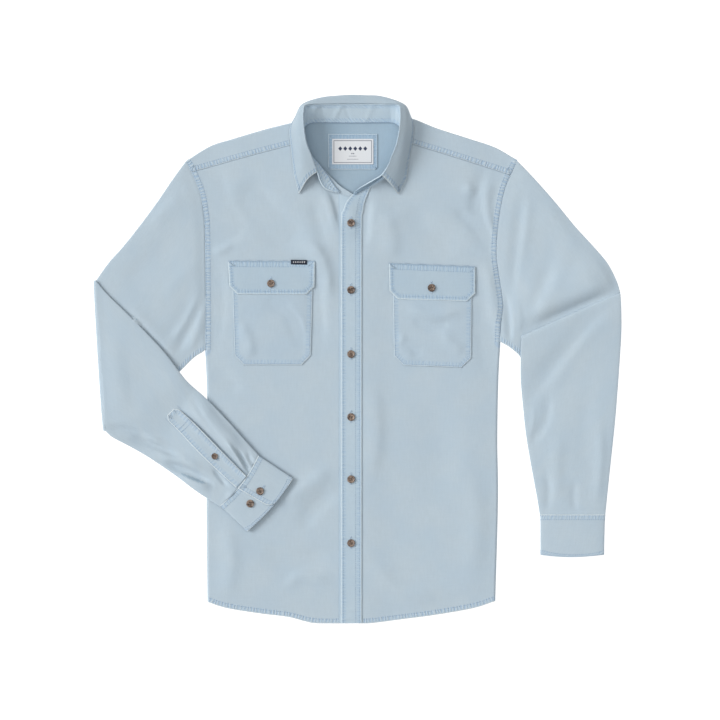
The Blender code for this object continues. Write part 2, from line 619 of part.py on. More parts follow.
# ---- pockets, label and buttons --------------------------------------------------------
def blunt(piece, across=8, up=8):
    """Rows of a four-sided piece with its two lower corners cut off."""
    cut = piece["cut"]
    rows = []
    width = piece["right"][0] - piece["left"][0]
    height = piece["top"][0] - piece["bottom"][0]
    levels = [0.0, cut / height] if cut else [0.0]
    levels += [mix(levels[-1], 1.0, k / (up - 1)) for k in range(1, up)]
    for v in levels:
        inset = cut * max(0.0, 1.0 - v * height / cut) if cut else 0.0
        row = []
        for i in range(across + 1):
            u = mix(inset / width, 1.0 - inset / width, i / across)
            low = mix(piece["bottom"][0], piece["bottom"][1], u)
            high = mix(piece["top"][0], piece["top"][1], u)
            left = mix(piece["left"][1], piece["left"][0], v)
            right = mix(piece["right"][1], piece["right"][0], v)
            row.append(Vector((mix(left, right, u), mix(low, high, v), 0)))
        rows.append(row)
    return rows


def make_pockets(denim, black):
    for side, pocket, flap, under in (("right", POCKET_RIGHT, FLAP_RIGHT, front_under),
                                      ("left", POCKET_LEFT, FLAP_LEFT, left_front_under)):
        laid(side + "_pocket", blunt(pocket, 7, 7),
             lambda x, y, f=under: f(x, y) + LAYER, CLOTH, denim)
        laid(side + "_flap", blunt(flap, 8, 3),
             lambda x, y, f=under: f(x, y) + 2 * LAYER, CLOTH, denim)
    laid("flap_tab", blunt(FLAP_TAB, 2, 2),
         lambda x, y: front_under(x, y) + 3 * LAYER, LABEL_THICK, black)


def make_label(denim, white):
    laid("neck_patch", blunt(NECK_PATCH, 4, 4), lambda x, y: LAYER, CLOTH, denim)
    laid("neck_label", blunt(NECK_LABEL, 2, 2), lambda x, y: 2 * LAYER, LABEL_THICK, white)


def make_button(name, centre, normal, radius, material):
    """A turned disc with a softened edge, its under face on centre."""
    side = normal.orthogonal().normalized()
    other = normal.cross(side)
    profile = ((radius - BUTTON_EDGE, 0.0), (radius, BUTTON_EDGE),
               (radius, BUTTON_THICK - BUTTON_EDGE), (radius - BUTTON_EDGE, BUTTON_THICK))
    verts = []
    for reach, rise in profile:
        for k in range(BUTTON_SIDES):
            turn = 2 * math.pi * k / BUTTON_SIDES
            verts.append(centre + side * reach * math.cos(turn) + other * reach * math.sin(turn)
                         + normal * rise)
    faces = []
    for ring in range(len(profile) - 1):
        for k in range(BUTTON_SIDES):
            nxt = (k + 1) % BUTTON_SIDES
            faces.append([ring * BUTTON_SIDES + k, ring * BUTTON_SIDES + nxt,
                          (ring + 1) * BUTTON_SIDES + nxt, (ring + 1) * BUTTON_SIDES + k])
    last = (len(profile) - 1) * BUTTON_SIDES
    faces.append(list(range(BUTTON_SIDES))[::-1])
    faces.append([last + k for k in range(BUTTON_SIDES)])
    return finish(name, verts, faces, material)


def make_buttons(horn):
    up = Vector((0, 0, 1))
    for number, y in enumerate(FRONT_BUTTON_Y, start=1):
        z = front_under(FRONT_BUTTON_X, y) + 3 * LAYER
        make_button("front_button_%d" % number, Vector((FRONT_BUTTON_X, y, z)), up,
                    SHIRT_BUTTON, horn)
    for name, x, y in FLAP_BUTTONS:
        make_button(name, Vector((x, y, front_under(x, y) + 3 * LAYER)), up,
                    SHIRT_BUTTON, horn)
    for name, x, y in RIGHT_CUFF_BUTTONS:
        z = right_forearm_under(x, y) + 2 * CUFF_HALF + LAY
        make_button(name, Vector((x, y, z)), up, SHIRT_BUTTON, horn)
    x, y = RIGHT_GAUNTLET_BUTTON
    make_button("right_gauntlet_button", Vector((x, y, forearm_top(x, y) + LAYER + SEAM)), up,
                GAUNTLET_BUTTON, horn)
    for name, x, y in LEFT_CUFF_BUTTONS:
        make_button(name, Vector((x, y, 0.0)), up, SHIRT_BUTTON, horn)
    x, y = LEFT_GAUNTLET_BUTTON
    make_button("left_gauntlet_button", Vector((x, y, 0.0)), up, GAUNTLET_BUTTON, horn)
    row, share = COLLAR_BUTTON_AT
    rows = stand_rows()
    normals = face_normals(rows)
    foot, top = rows[row][0], rows[row][-1]
    normal = normals[row][1]
    normal = normal if normal.z < 0 else -normal
    make_button("collar_button", foot.lerp(top, share) + normal * (STIFF / 2 + SEAM), normal,
                GAUNTLET_BUTTON, horn)


# ---- materials and assembly ------------------------------------------------------------
def material(name, colour, roughness):
    made = bpy.data.materials.new(name)
    made.use_nodes = True
    shader = made.node_tree.nodes["Principled BSDF"]
    shader.inputs["Base Color"].default_value = colour + (1.0,)
    shader.inputs["Roughness"].default_value = roughness
    shader.inputs["Metallic"].default_value = 0.0
    return made


def build():
    for thing in list(bpy.data.objects):
        bpy.data.objects.remove(thing, do_unlink=True)
    denim = material("washed_denim", (0.47, 0.60, 0.70), 0.9)
    horn = material("horn_button", (0.16, 0.10, 0.07), 0.4)
    white = material("woven_label", (0.86, 0.86, 0.86), 0.8)
    black = material("woven_tab", (0.02, 0.02, 0.025), 0.8)
    make_back(denim)
    make_fronts(denim)
    make_yoke(denim)
    make_placket(denim)
    make_collar(denim)
    make_right_sleeve(denim)
    make_left_sleeve(denim)
    make_cuff("right", CUFF_RIGHT, right_forearm_under, 1.0, denim)
    make_cuff("left", CUFF_LEFT, lambda x, y: LEFT_CUFF_RAISED_BY, -1.0, denim)
    laid("right_gauntlet", ribbon(GAUNTLET_SPINE, GAUNTLET_HALF_WIDTH, 8), forearm_top, CLOTH,
         denim)
    laid("left_gauntlet", ribbon(GAUNTLET_LEFT_SPINE, GAUNTLET_HALF_WIDTH, 8),
         lambda x, y: left_forearm_under(x, y) - LAYER - SEAM, CLOTH, denim)
    make_pockets(denim, black)
    make_label(denim, white)
    make_buttons(horn)


build()
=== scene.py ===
"""The looks of a denim shirt laid flat: cloth, seams, topstitching, buttons and label.

Sizes and places in the tables are millimetres in the frame's own axes: +X is the wearer's
left, +Y runs to the collar and +Z is up from the surface. MM turns them into metres.
"""

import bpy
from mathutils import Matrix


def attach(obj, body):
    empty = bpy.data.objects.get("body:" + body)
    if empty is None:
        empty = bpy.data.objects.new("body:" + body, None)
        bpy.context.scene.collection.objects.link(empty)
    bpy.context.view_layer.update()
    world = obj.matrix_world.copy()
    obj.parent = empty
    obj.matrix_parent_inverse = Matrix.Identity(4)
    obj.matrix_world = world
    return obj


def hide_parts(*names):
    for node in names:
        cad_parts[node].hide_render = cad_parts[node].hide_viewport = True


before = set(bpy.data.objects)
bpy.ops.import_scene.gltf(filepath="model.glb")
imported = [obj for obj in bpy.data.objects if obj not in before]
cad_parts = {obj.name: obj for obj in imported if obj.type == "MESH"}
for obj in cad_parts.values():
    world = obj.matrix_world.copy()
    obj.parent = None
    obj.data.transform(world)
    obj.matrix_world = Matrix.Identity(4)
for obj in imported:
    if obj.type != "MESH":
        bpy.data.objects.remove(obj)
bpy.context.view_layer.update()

import math

import bpy
import numpy as np
from mathutils import Vector
from mathutils.bvhtree import BVHTree

MM = 0.001
BODY = "root"

# ---- cloth and layers ------------------------------------------------------------------------
CLOTH = 1.0
STIFF = 1.5
SEAM = 0.3
LAYER = CLOTH + 0.45
GRID = 3.2                      # spacing of a panel's points
EDGE_GRID = (0.0, 0.35, 0.8, 1.4, 2.1, 3.0, 4.2, 5.6, 7.0, 8.6)   # closer to an edge

# ---- how the fronts swell over the back ------------------------------------------------------
SIDE_X = (-225.0, 211.0)
HEM_Y = -388.0
SIDE_FALL = 55.0
HEM_FALL = 60.0
BODY_SWELL = 1.6
NECK_SWELL = 2.0
NECK_CENTRE = (-8.0, 292.0)
NECK_REACH = 105.0
CENTRE_LIFT = 50.0
PLACKET_X = 8.0

# ---- outlines, runs of points (x, y) ---------------------------------------------------------
SIDE_R = [(-222, -360.5), (-223.5, -209.5), (-222.5, -61.5), (-225.5, 12.5)]
SIDE_L = [(204, -359), (208, -209.5), (207, -120.5), (208.5, -32), (211.5, 24)]
ARMHOLE_R = [(-225.5, 12.5), (-225.5, 86.5), (-226.5, 187), (-229, 218.5), (-234, 245),
             (-246, 275.5), (-254.5, 290.5)]
ARMHOLE_L = [(211.5, 24), (212.5, 50), (216, 80), (210, 125), (206.5, 156), (209.5, 200.5),
             (217, 243.5), (227, 271.5), (237.5, 291)]
HEM_RIGHT = [(-222, -360.5), (-193, -369.5), (-143, -377.5), (-103, -382.5), (-77.5, -389),
             (-58.5, -392), (-0.8, -392)]
HEM_LEFT = [(1.5, -392), (21.5, -391.5), (69, -385.5), (114.5, -379.5), (171, -369.5),
            (204, -359)]
YOKE_SEAM_R = [(-246, 275.5), (-164, 298.5), (-82, 320)]
YOKE_SEAM_L = [(64, 322.5), (145, 297.5), (227, 271.5)]
NECK_R = [(-82, 320), (-72, 304), (-58.5, 289.5), (-42, 271.5), (-26, 255.5), (-9.5, 245),
          (-0.8, 239)]
NECK_L = [(1.5, 243.5), (18.5, 254), (37.5, 265.5), (52.5, 286.5), (61.5, 305.5),
          (64, 322.5)]
SHOULDER_R = [(-80.5, 353), (-135.5, 339.5), (-184.5, 325), (-218.5, 314), (-253.6, 292.5)]
SHOULDER_L = [(66, 357.5), (83.6, 354.3), (101.4, 347.2), (120.5, 339.7), (166.5, 325),
              (203.5, 312.5), (236.6, 293.5)]
BACK_YOKE_Y = 237.5
# neck x, neck y, outer x, outer y
YOKE_BACK = [
    (-78.0, 348.6, -242.0, 268.0), (-72.0, 348.4, -236.0, 253.0),
    (-66.0, 348.3, -231.8, 237.5), (-52.0, 348.2, -175.0, 237.5),
    (-35.0, 348.1, -115.0, 237.5), (-9.0, 347.8, -8.0, 237.5), (18.0, 348.1, 98.0, 237.5),
    (35.0, 348.2, 158.0, 237.5), (50.0, 348.3, 214.4, 237.5), (56.0, 348.4, 218.5, 251.0),
    (62.0, 348.6, 223.5, 266.0)]
NECK_TURNING = 1.6              # cloth that runs on under the collar stand
PLACKET_RIGHT_EDGE = [(-24.5, -391.6), (-24.5, 86.5), (-24.5, 203.5), (-21, 220), (-16, 233),
                      (-8, 242.5)]
PLACKET_LEFT_EDGE = [(6.5, -391.6), (6.5, 86.5), (6.7, 200.5), (8.5, 217), (11.5, 233),
                     (20.5, 255)]
BUTTON_STAND_RIGHT_EDGE = [(-27.5, -391.4), (-27.5, 86.5), (-27.5, 243.5)]
BUTTON_STAND_LEFT_EDGE = [(-1.0, -391.4), (-1.0, 86.5), (-1.0, 235)]

# ---- collar ----------------------------------------------------------------------------------
# foot x, y; what is under the foot; top x, y, z
STAND = [
    (-26.0, 247.5, "flat", -27.5, 245.0, 8.0), (-32.5, 254.5, "flat", -37.0, 246.5, 11.0),
    (-39.0, 264.0, "flat", -48.0, 251.0, 13.8), (-46.5, 275.5, "flat", -55.0, 261.0, 16.5),
    (-57.0, 288.0, "front", -60.0, 276.0, 21.0), (-70.0, 302.0, "front", -67.5, 297.0, 27.0),
    (-80.0, 319.0, "front", -75.5, 319.0, 32.0), (-82.0, 336.0, "front", -79.0, 344.0, 33.0),
    (-75.2, 345.0, "fold", -79.0, 364.5, 30.5), (-66.0, 348.8, "back", -75.0, 373.6, 26.5),
    (-48.0, 348.8, "back", -52.0, 375.5, 22.0), (-28.0, 348.6, "back", -29.0, 376.0, 20.0),
    (-9.0, 348.4, "back", -9.5, 376.5, 19.5), (12.0, 348.6, "back", 11.0, 376.0, 20.0),
    (32.0, 348.8, "back", 34.0, 375.5, 22.0), (50.0, 348.8, "back", 59.0, 374.2, 26.5),
    (60.0, 345.0, "fold", 63.0, 364.5, 30.5), (65.5, 336.0, "front", 62.5, 344.0, 33.0),
    (64.5, 319.0, "front", 58.5, 319.0, 32.0), (58.0, 301.0, "front", 51.5, 300.5, 29.5),
    (48.5, 285.0, "placket", 45.5, 285.0, 27.0), (37.0, 269.5, "placket", 35.0, 270.5, 25.0),
    (24.5, 260.0, "placket", 22.0, 262.5, 23.0), (12.5, 252.0, "placket", 9.5, 255.5, 19.0),
    (1.5, 245.4, "placket", -1.5, 249.0, 13.0), (-4.5, 241.6, "placket", -6.5, 244.0, 10.4)]
STAND_FOOT = {"flat": CLOTH + 1.2, "front": CLOTH + 0.8, "placket": 2 * LAYER + CLOTH + 1.05}
STAND_FOOT_BACK = 2.2
STAND_FOOT_FOLD = 4.0
ROLL_GAP = 0.25
# share of the stand's length, slant, depth
STAND_CREASES = ((0.345, 0.5, 1.1), (0.37, 0.3, -1.3), (0.398, 0.0, 1.1), (0.435, 0.35, -0.8),
                 (0.47, -0.2, 0.5), (0.53, 0.25, -0.6), (0.59, -0.2, 0.6), (0.622, -0.3, -1.1),
                 (0.652, -0.1, 1.3), (0.683, -0.4, -1.1), (0.25, 0.3, 0.6), (0.77, -0.3, 0.5))
# roll x, y, z; middle x, y, z; edge x, y, z
LEAF = [
    (-60.0, 275.0, 22.6, -74.0, 264.0, 19.0, -86.5, 243.5, 7.3),
    (-67.5, 297.0, 28.6, -81.5, 286.0, 23.5, -93.5, 270.0, 7.5),
    (-75.5, 319.0, 33.6, -88.0, 314.5, 27.0, -97.5, 305.5, 7.5),
    (-79.0, 344.0, 34.6, -91.0, 343.5, 27.5, -100.0, 339.5, 7.4),
    (-79.0, 364.5, 32.1, -87.0, 366.5, 23.0, -88.0, 361.5, 3.0),
    (-75.0, 373.6, 28.1, -78.0, 377.2, 18.0, -77.0, 372.5, 1.4),
    (-52.0, 375.5, 23.6, -53.5, 385.0, 15.0, -53.5, 381.5, 1.2),
    (-29.0, 376.0, 21.6, -29.5, 387.6, 13.6, -29.5, 384.5, 1.2),
    (-9.5, 376.5, 21.1, -9.5, 388.8, 13.2, -9.5, 385.5, 1.2),
    (11.0, 376.0, 21.6, 11.0, 388.2, 13.6, 11.0, 385.0, 1.2),
    (34.0, 375.5, 23.6, 35.0, 386.8, 15.0, 34.5, 382.5, 1.2),
    (59.0, 374.2, 28.1, 62.0, 378.4, 18.0, 61.0, 373.5, 1.4),
    (63.0, 364.5, 32.1, 73.5, 368.0, 23.0, 75.5, 362.5, 3.8),
    (62.5, 344.0, 34.6, 74.0, 344.0, 27.5, 83.0, 341.0, 7.4),
    (58.5, 319.0, 33.6, 70.0, 315.0, 27.0, 79.0, 308.5, 7.5),
    (51.5, 300.5, 31.1, 64.5, 293.0, 24.0, 75.0, 285.0, 7.6),
    (45.5, 285.0, 28.6, 59.0, 275.0, 21.0, 71.5, 264.0, 7.5),
    (36.5, 269.5, 27.0, 49.5, 256.5, 19.5, 60.5, 242.5, 7.4)]

# ---- sleeves ---------------------------------------------------------------------------------
# outer edge x, y; underarm edge x, y; half thickness; share of the armhole's curve
RIGHT_UPPER = [
    (-255.3, 290.2, -226.2, 12.3, 2.0, 1.00), (-273.0, 266.0, -229.5, 9.5, 2.4, 0.80),
    (-297.5, 230.0, -243.0, 0.5, 2.4, 0.45), (-323.5, 195.0, -268.0, -24.0, 2.4, 0.15),
    (-347.5, 165.0, -302.0, -54.0, 2.4, 0.0), (-368.0, 142.0, -338.0, -82.0, 2.3, 0.0),
    (-387.0, 115.5, -373.0, -107.0, 2.0, 0.0)]
# outer edge x, y; underarm edge x, y; half thickness; bow towards the cuff
RIGHT_FOREARM = [
    (-387.0, 115.5, -373.0, -107.0, 2.0, 0.0), (-378.0, 104.0, -361.5, -117.0, 2.05, 0.0),
    (-366.0, 91.0, -338.0, -129.5, 2.5, 0.0),
    (-340.0, 66.0, -312.5, -144.0, 3.2, 0.0), (-311.0, 37.0, -287.5, -160.5, 3.7, 0.0),
    (-283.0, 6.5, -264.5, -176.5, 4.1, 0.0), (-253.5, -32.0, -247.0, -190.0, 4.3, 0.0),
    (-225.0, -58.0, -232.0, -200.5, 4.4, 0.0), (-197.0, -86.5, -219.5, -208.5, 4.3, 1.0),
    (-170.0, -116.5, -211.0, -214.5, 4.1, 3.5), (-146.6, -142.3, -204.6, -218.4, 4.0, 5.5)]
# outer edge x, y, z; underarm edge x, y, z; half thickness; turn; share of the armhole's curve
LEFT_SLEEVE = [
    (238.4, 290.6, 2.0, 212.4, 24.0, 2.0, 2.0, 0, 1.00),
    (262.0, 266.0, 2.4, 217.0, 21.5, 2.4, 2.4, 0, 0.80),
    (292.0, 232.0, 2.5, 224.0, 17.5, 2.4, 2.4, 0, 0.45),
    (322.0, 195.5, 2.5, 231.0, 12.0, 2.2, 2.3, 0, 0.20),
    (349.0, 166.0, 2.6, 237.0, 7.0, 1.9, 2.2, 0, 0.0),
    (370.0, 141.0, 2.8, 241.5, 1.5, 1.6, 1.9, 0, 0.0),
    (383.0, 116.0, 3.0, 246.0, -4.5, 1.4, 1.5, 0, 0.0),
    (388.2, 100.0, 3.1, 250.0, -11.0, 1.4, 1.35, 0, 0.0),
    (388.6, 98.0, 3.1, 251.0, -13.5, 2.6, 1.35, 90, 0.0),
    (388.6, 97.6, 3.2, 250.0, -11.0, 4.0, 1.35, 180, 0.0),
    (388.6, 97.2, 3.3, 245.5, 9.0, 4.2, 1.35, 180, 0.0),
    (388.6, 96.8, 3.4, 243.5, 27.0, 4.3, 1.35, 180, 0.0),
    (388.6, 96.6, 4.2, 242.6, 32.5, 6.4, 1.4, 90, 0.0),
    (389.0, 95.0, 4.8, 242.2, 28.5, 8.4, 1.5, 0, 0.0),
    (389.8, 86.0, 4.8, 241.4, 13.0, 8.4, 1.8, 0, 0.0),
    (390.5, 66.0, 4.6, 241.2, -8.0, 7.6, 2.3, 0, 0.0),
    (390.5, 40.0, 3.8, 241.6, -34.0, 5.2, 2.7, 0, 0.0),
    (388.5, 4.0, 3.6, 244.8, -70.0, 4.6, 2.8, 0, 0.0),
    (385.0, -44.0, 5.2, 249.0, -110.0, 6.4, 2.7, 0, 0.0),
    (381.0, -92.0, 7.0, 254.7, -146.0, 7.2, 2.6, 0, 0.0),
    (376.0, -140.0, 7.2, 260.5, -178.0, 7.2, 2.6, 0, 0.0),
    (371.0, -187.0, 7.1, 265.5, -205.0, 7.1, 2.7, 0, 0.0),
    (366.6, -230.2, 6.9, 269.5, -230.2, 6.9, 2.8, 0, 0.0)]
LEFT_LIP_ROW = 12               # from this row on the sleeve lies on itself at the elbow
LEFT_FORWARD = Vector((0.375, -0.927, 0.0))
REST_FALL = 62.0
ARM_TOP = 5.1
FOREARM_CLEAR = 0.5
TO_CUFF = Vector((0.79, -0.61, 0.0))
CUFF_HALF = 4.4
CUFF_OVERLAP = 0.12
CUFF_LAP_AT = 0.60
# the two ends of the seam, the two ends of the free edge, then how far each is bowed out
CUFFS = {"right": ((-146.2, -142.8), (-204.2, -218.9), (-94.5, -177.0), (-163.5, -257.0), 5.5, 4.0),
         "left": ((366.6, -230.6), (269.0, -230.6), (365.0, -290.5), (269.3, -291.0), 0.0, 3.0)}
LEFT_CUFF_RAISED_BY = 2.8
LEFT_RAISED_FROM = -20.0
LEFT_RAISED_BY = 4.6
RAISE_FALL = 70.0
GAUNTLET_SPINE = [(-276.5, -79.0), (-253.0, -101.5), (-226.5, -129.0), (-198.5, -157.0),
                  (-171.8, -182.2)]
GAUNTLET_LEFT_SPINE = [(297.5, -80.0), (303.0, -112.0), (307.0, -150.0), (311.0, -190.0),
                       (314.0, -228.0)]
GAUNTLET_HALF_WIDTH = (11.5, 13.0, 13.0, 12.5, 11.5)
EDGE_LIFT = 2.4                 # how far the gauntlet's free edge stands off the sleeve

# ---- small flat pieces: left, right, top and bottom edges, and the cut of the lower corners
POCKETS = {
    "right_pocket": ((-185.5, -182.0), (-66.0, -69.5), (118.0, 118.0), (-9.5, -9.5), 14.0),
    "left_pocket": ((52.5, 54.0), (169.5, 168.0), (115.0, 112.5), (-10.0, -13.5), 14.0)}
FLAPS = {
    "right_flap": ((-191.5, -189.5), (-63.0, -64.0), (144.5, 144.0), (95.0, 94.5), 12.0),
    "left_flap": ((46.5, 47.5), (174.5, 174.0), (141.0, 136.0), (88.0, 84.5), 12.0)}
FLAP_TAB = ((-98.5, -98.5), (-74.5, -74.5), (146.0, 145.6), (139.2, 138.8), 0.0)
NECK_PATCH = ((-43.5, -43.5), (29.5, 29.5), (332.5, 332.5), (279.5, 279.5), 4.0)
NECK_LABEL = ((-37.5, -37.5), (23.5, 23.5), (325.0, 325.0), (287.5, 287.5), 0.0)

# ---- folds in the cloth ----------------------------------------------------------------------
# start x, y; middle x, y; end x, y; width on the left of its run, on the right; height
FOLDS = {
    "right_front": [
        (-212, 282, -201, 227, -165, 187, 13.3, 23.7, -1.6),
        (-165, 270, -132, 214, -76, 169, 20.7, 32.6, -2.0),
        (-85, 178, -53, 149, -41, 87, 11.8, 20.7, 2.0),
        (-47, 143, -58, 87, -53, 20, 10.4, 17.8, -1.2),
        (-44, 252, -34, 231, -26, 196, 12.0, 4.0, -1.1),
        (-54, 248, -43, 226, -32, 186, 12.0, 7.0, 0.8),
        (-66, 236, -58, 205, -46, 165, 9.0, 13.0, -0.7),
        (-217, 181, -195, 180, -169, 192, 7.4, 10.4, -1.0),
        (-215, 158, -201, 161, -186, 169, 5.9, 7.4, 0.9),
        (-209, 143, -205, 87, -209, 20, 8.9, 14.8, -1.2),
        (-115, -217, -78, -190, -38, -162, 13.3, 17.8, 1.3),
        (-85, -254, -58, -217, -32, -198, 14.8, 11.8, -1.0),
        (-141, -280, -100, -298, -41, -292, 14.8, 20.7, -0.9),
        (-109, -340, -85, -322, -39, -326, 7.4, 10.4, 0.8),
        (-195, -239, -186, -298, -195, -354, 13.3, 17.8, 0.8),
        (-215, -17, -201, -26, -174, -50, 11.8, 14.8, -0.8)],
    "left_front": [
        (187, 276, 178, 227, 196, 168, 5.9, 10.4, -1.9),
        (198, 270, 193, 227, 202, 178, 4.4, 7.4, 0.8),
        (140, 223, 172, 202, 196, 171, 7.4, 11.8, -1.3),
        (155, 258, 172, 249, 190, 255, 7.4, 11.8, 1.2),
        (18, 240, 13, 212, 10, 166, 7.4, 17.8, -1.6),
        (39, 220, 51, 175, 45, 143, 14.8, 20.7, 1.0),
        (75, 229, 107, 187, 155, 166, 20.7, 26.6, -0.9),
        (190, 149, 199, 101, 208, 42, 8.9, 11.8, 1.1),
        (178, 87, 187, 42, 196, -20, 11.8, 14.8, -0.8),
        (21, -32, 30, -106, 21, -180, 11.8, 20.7, 0.8),
        (92, -61, 122, -121, 110, -209, 26.6, 35.5, -0.7),
        (18, -298, 63, -343, 122, -352, 14.8, 17.8, 0.8),
        (166, -165, 178, -239, 169, -328, 17.8, 20.7, 0.7)],
    "right_pocket": [
        (-141, 90, -97, 69, -79, 20, 11.8, 16.3, -1.1),
        (-174, 57, -159, 20, -165, -2, 8.9, 13.3, 0.8),
        (-109, 87, -85, 60, -73, 27, 7.4, 10.4, 0.8)],
    "left_pocket": [
        (81, 60, 110, 48, 137, 54, 5.9, 8.9, -1.1),
        (69, 78, 107, 66, 155, 69, 7.4, 8.9, 0.9),
        (60, 27, 78, 13, 98, 10, 5.9, 8.9, -0.9),
        (63, 42, 69, 18, 87, 1, 7.4, 10.4, 0.9),
        (122, 39, 143, 21, 158, 10, 8.9, 11.8, 0.7)],
    "right_upper": [
        (-229, 84, -245, 48, -266, 10, 4.4, 9.0, -2.2),
        (-235, 98, -254, 60, -276, 18, 5.9, 8.9, 0.5),
        (-229, 60, -239, 33, -251, 10, 5.9, 5.9, 0.5),
        (-243, 93, -262, 56, -284, 30, 6.0, 13.0, -1.0),
        (-350, 88, -314, 51, -262, -6, 14.0, 4.0, 0.9),
        (-338, 58, -331, 55, -322, 47, 4.0, 4.0, 3.4),
        (-343, 101, -307, 143, -263, 175, 20.7, 26.6, -1.1),
        (-307, 190, -285, 220, -254, 240, 14.8, 20.7, 0.9),
        (-292, 87, -266, 116, -239, 143, 11.8, 17.8, 0.5)],
    "right_forearm": [
        (-372, -103, -342, -105, -303, -120, 4.5, 5.5, -3.0),
        (-342, -118, -306, -126, -262, -146, 4.0, 6.0, -2.4),
        (-350, -108, -320, -114, -282, -128, 5.0, 5.0, 1.2),
        (-292, -154, -254, -164, -218, -183, 5.0, 8.5, -3.8),
        (-280, -171, -248, -180, -212, -192, 5.9, 8.9, 2.4),
        (-304, -138, -269, -147, -227, -162, 8.9, 11.8, 1.5),
        (-214, -161, -204, -174, -192, -189, 3.7, 4.4, -2.2),
        (-177, -135, -168, -152, -158, -171, 3.0, 3.7, -2.6),
        (-195, -121, -180, -143, -164, -165, 4.4, 4.4, 1.8),
        (-162, -137, -158, -150, -150, -162, 3.0, 4.4, -1.6),
        (-262, -73, -214, -121, -164, -171, 3.0, 3.4, -2.2),
        (-250, -66, -212, -104, -172, -144, 22.0, 9.0, 2.2),
        (-243, -61, -221, -97, -195, -130, 4.5, 6.0, -0.7),
        (-222, -64, -192, -97, -160, -134, 9.0, 8.0, -0.7),
        (-337, -2, -292, -47, -266, -91, 23.7, 29.6, -0.9),
        (-363, 42, -354, -32, -346, -91, 17.8, 23.7, 0.9),
        (-192, -195, -180, -209, -174, -221, 7.4, 8.9, 1.0)],
    "left_upper": [
        (246, 252, 238, 190, 226, 87, 7.4, 13.3, -1.4),
        (252, 246, 249, 190, 240, 143, 8.9, 13.3, 0.5),
        (289, 143, 270, 98, 252, 60, 11.8, 14.8, -1.2),
        (312, 161, 294, 116, 282, 87, 13.3, 17.8, 0.5),
        (220, 92, 224, 63, 226, 27, 4.0, 6.5, -2.6),
        (234, 87, 240, 60, 240, 36, 5.9, 7.4, 0.5),
        (270, 235, 300, 196, 329, 143, 17.8, 23.7, 0.8),
        (232, 62, 305, 91, 388, 124, 46.0, 21.5, 4.3),
        (248, 42, 305, 66, 380, 100, 9.0, 8.0, -1.8)],
    "left_forearm": [
        (377, 81, 332, 42, 251, -64, 10.4, 18.3, -1.9),
        (359, 54, 320, 13, 278, -50, 13.8, 18.3, 0.4),
        (282, -50, 279, -91, 255, -130, 7.4, 10.4, -1.3),
        (261, -67, 260, -97, 251, -121, 4.4, 5.9, 0.4),
        (344, -32, 335, -106, 341, -180, 14.8, 17.8, -0.6),
        (300, -106, 294, -165, 300, -217, 11.8, 14.8, 0.7),
        (278, -165, 283, -195, 280, -227, 5.9, 7.4, -1.0),
        (322, -180, 320, -206, 323, -227, 5.9, 7.4, -0.8),
        (359, -91, 360, -150, 353, -221, 7.4, 10.4, 0.7)]}

RIDGE_GAIN = 1.35
NO_SEAM = 99.0                  # distance given where a piece has no seam near


# ---- small tools -----------------------------------------------------------------------------
def smooth(value):
    """0 up to 1 with flat ends."""
    value = np.clip(value, 0.0, 1.0)
    return value * value * (3.0 - 2.0 * value)


def finer(rows, counts):
    """Rows of numbers with counts[k] steps from row k to row k + 1, on smooth curves."""
    rows = np.array(rows, float)
    ends = np.vstack([2 * rows[0] - rows[1], rows, 2 * rows[-1] - rows[-2]])
    made = [rows[:1]]
    for k, count in enumerate(counts):
        a, b, c, d = ends[k:k + 4]
        t = (np.arange(1, count + 1) / count)[:, None]
        made.append(0.5 * (2 * b + (c - a) * t + (2 * a - 5 * b + 4 * c - d) * t ** 2
                           + (3 * b - a - 3 * c + d) * t ** 3))
    return np.vstack(made)


class Path:
    """A smooth curve through points, read by its share of the length."""

    def __init__(self, points, fine=16):
        points = [tuple(p) + (0.0,) * (3 - len(p)) for p in points]
        self.line = finer(points, [fine] * (len(points) - 1))
        steps = np.linalg.norm(np.diff(self.line, axis=0), axis=1)
        run = np.concatenate([[0.0], np.cumsum(steps)])
        self.length = run[-1]
        self.share = run / run[-1]

    def at(self, share):
        return np.stack([np.interp(share, self.share, self.line[:, k]) for k in range(3)], -1)

    def plan(self, spacing=1.5):
        """Evenly spaced points of the line, seen from above."""
        return self.at(np.linspace(0.0, 1.0, max(2, int(self.length / spacing) + 1)))[:, :2]


def joined(*runs):
    points = list(runs[0])
    for run in runs[1:]:
        points += list(run)[1:]
    return points


def levels(length, spacing=GRID, first=True, last=True, edge=EDGE_GRID):
    """Shares of a length: even spacing, and closer points at the ends that ask for them."""
    low = [e for e in edge if first and e < length / 2.2]
    high = [length - e for e in edge if last and e < length / 2.2]
    start = low[-1] if low else 0.0
    stop = min(high) if high else length
    count = max(1, int(round((stop - start) / spacing)))
    middle = [start + (stop - start) * k / count for k in range(count + 1)]
    return np.array(sorted(set(low + middle + high))) / length


def patch(bottom, top, left, right, u, v):
    """A grid that fills the space between four curves; u runs across and v up."""
    low, high = bottom(u), top(u)
    first, last = left(v), right(v)
    u, v = u[None, :, None], v[:, None, None]
    ruled = low[None] * (1 - v) + high[None] * v + first[:, None] * (1 - u) + last[:, None] * u
    corners = ((low[0] * (1 - u) + low[-1] * u) * (1 - v) + (high[0] * (1 - u) + high[-1] * u) * v)
    return ruled - corners


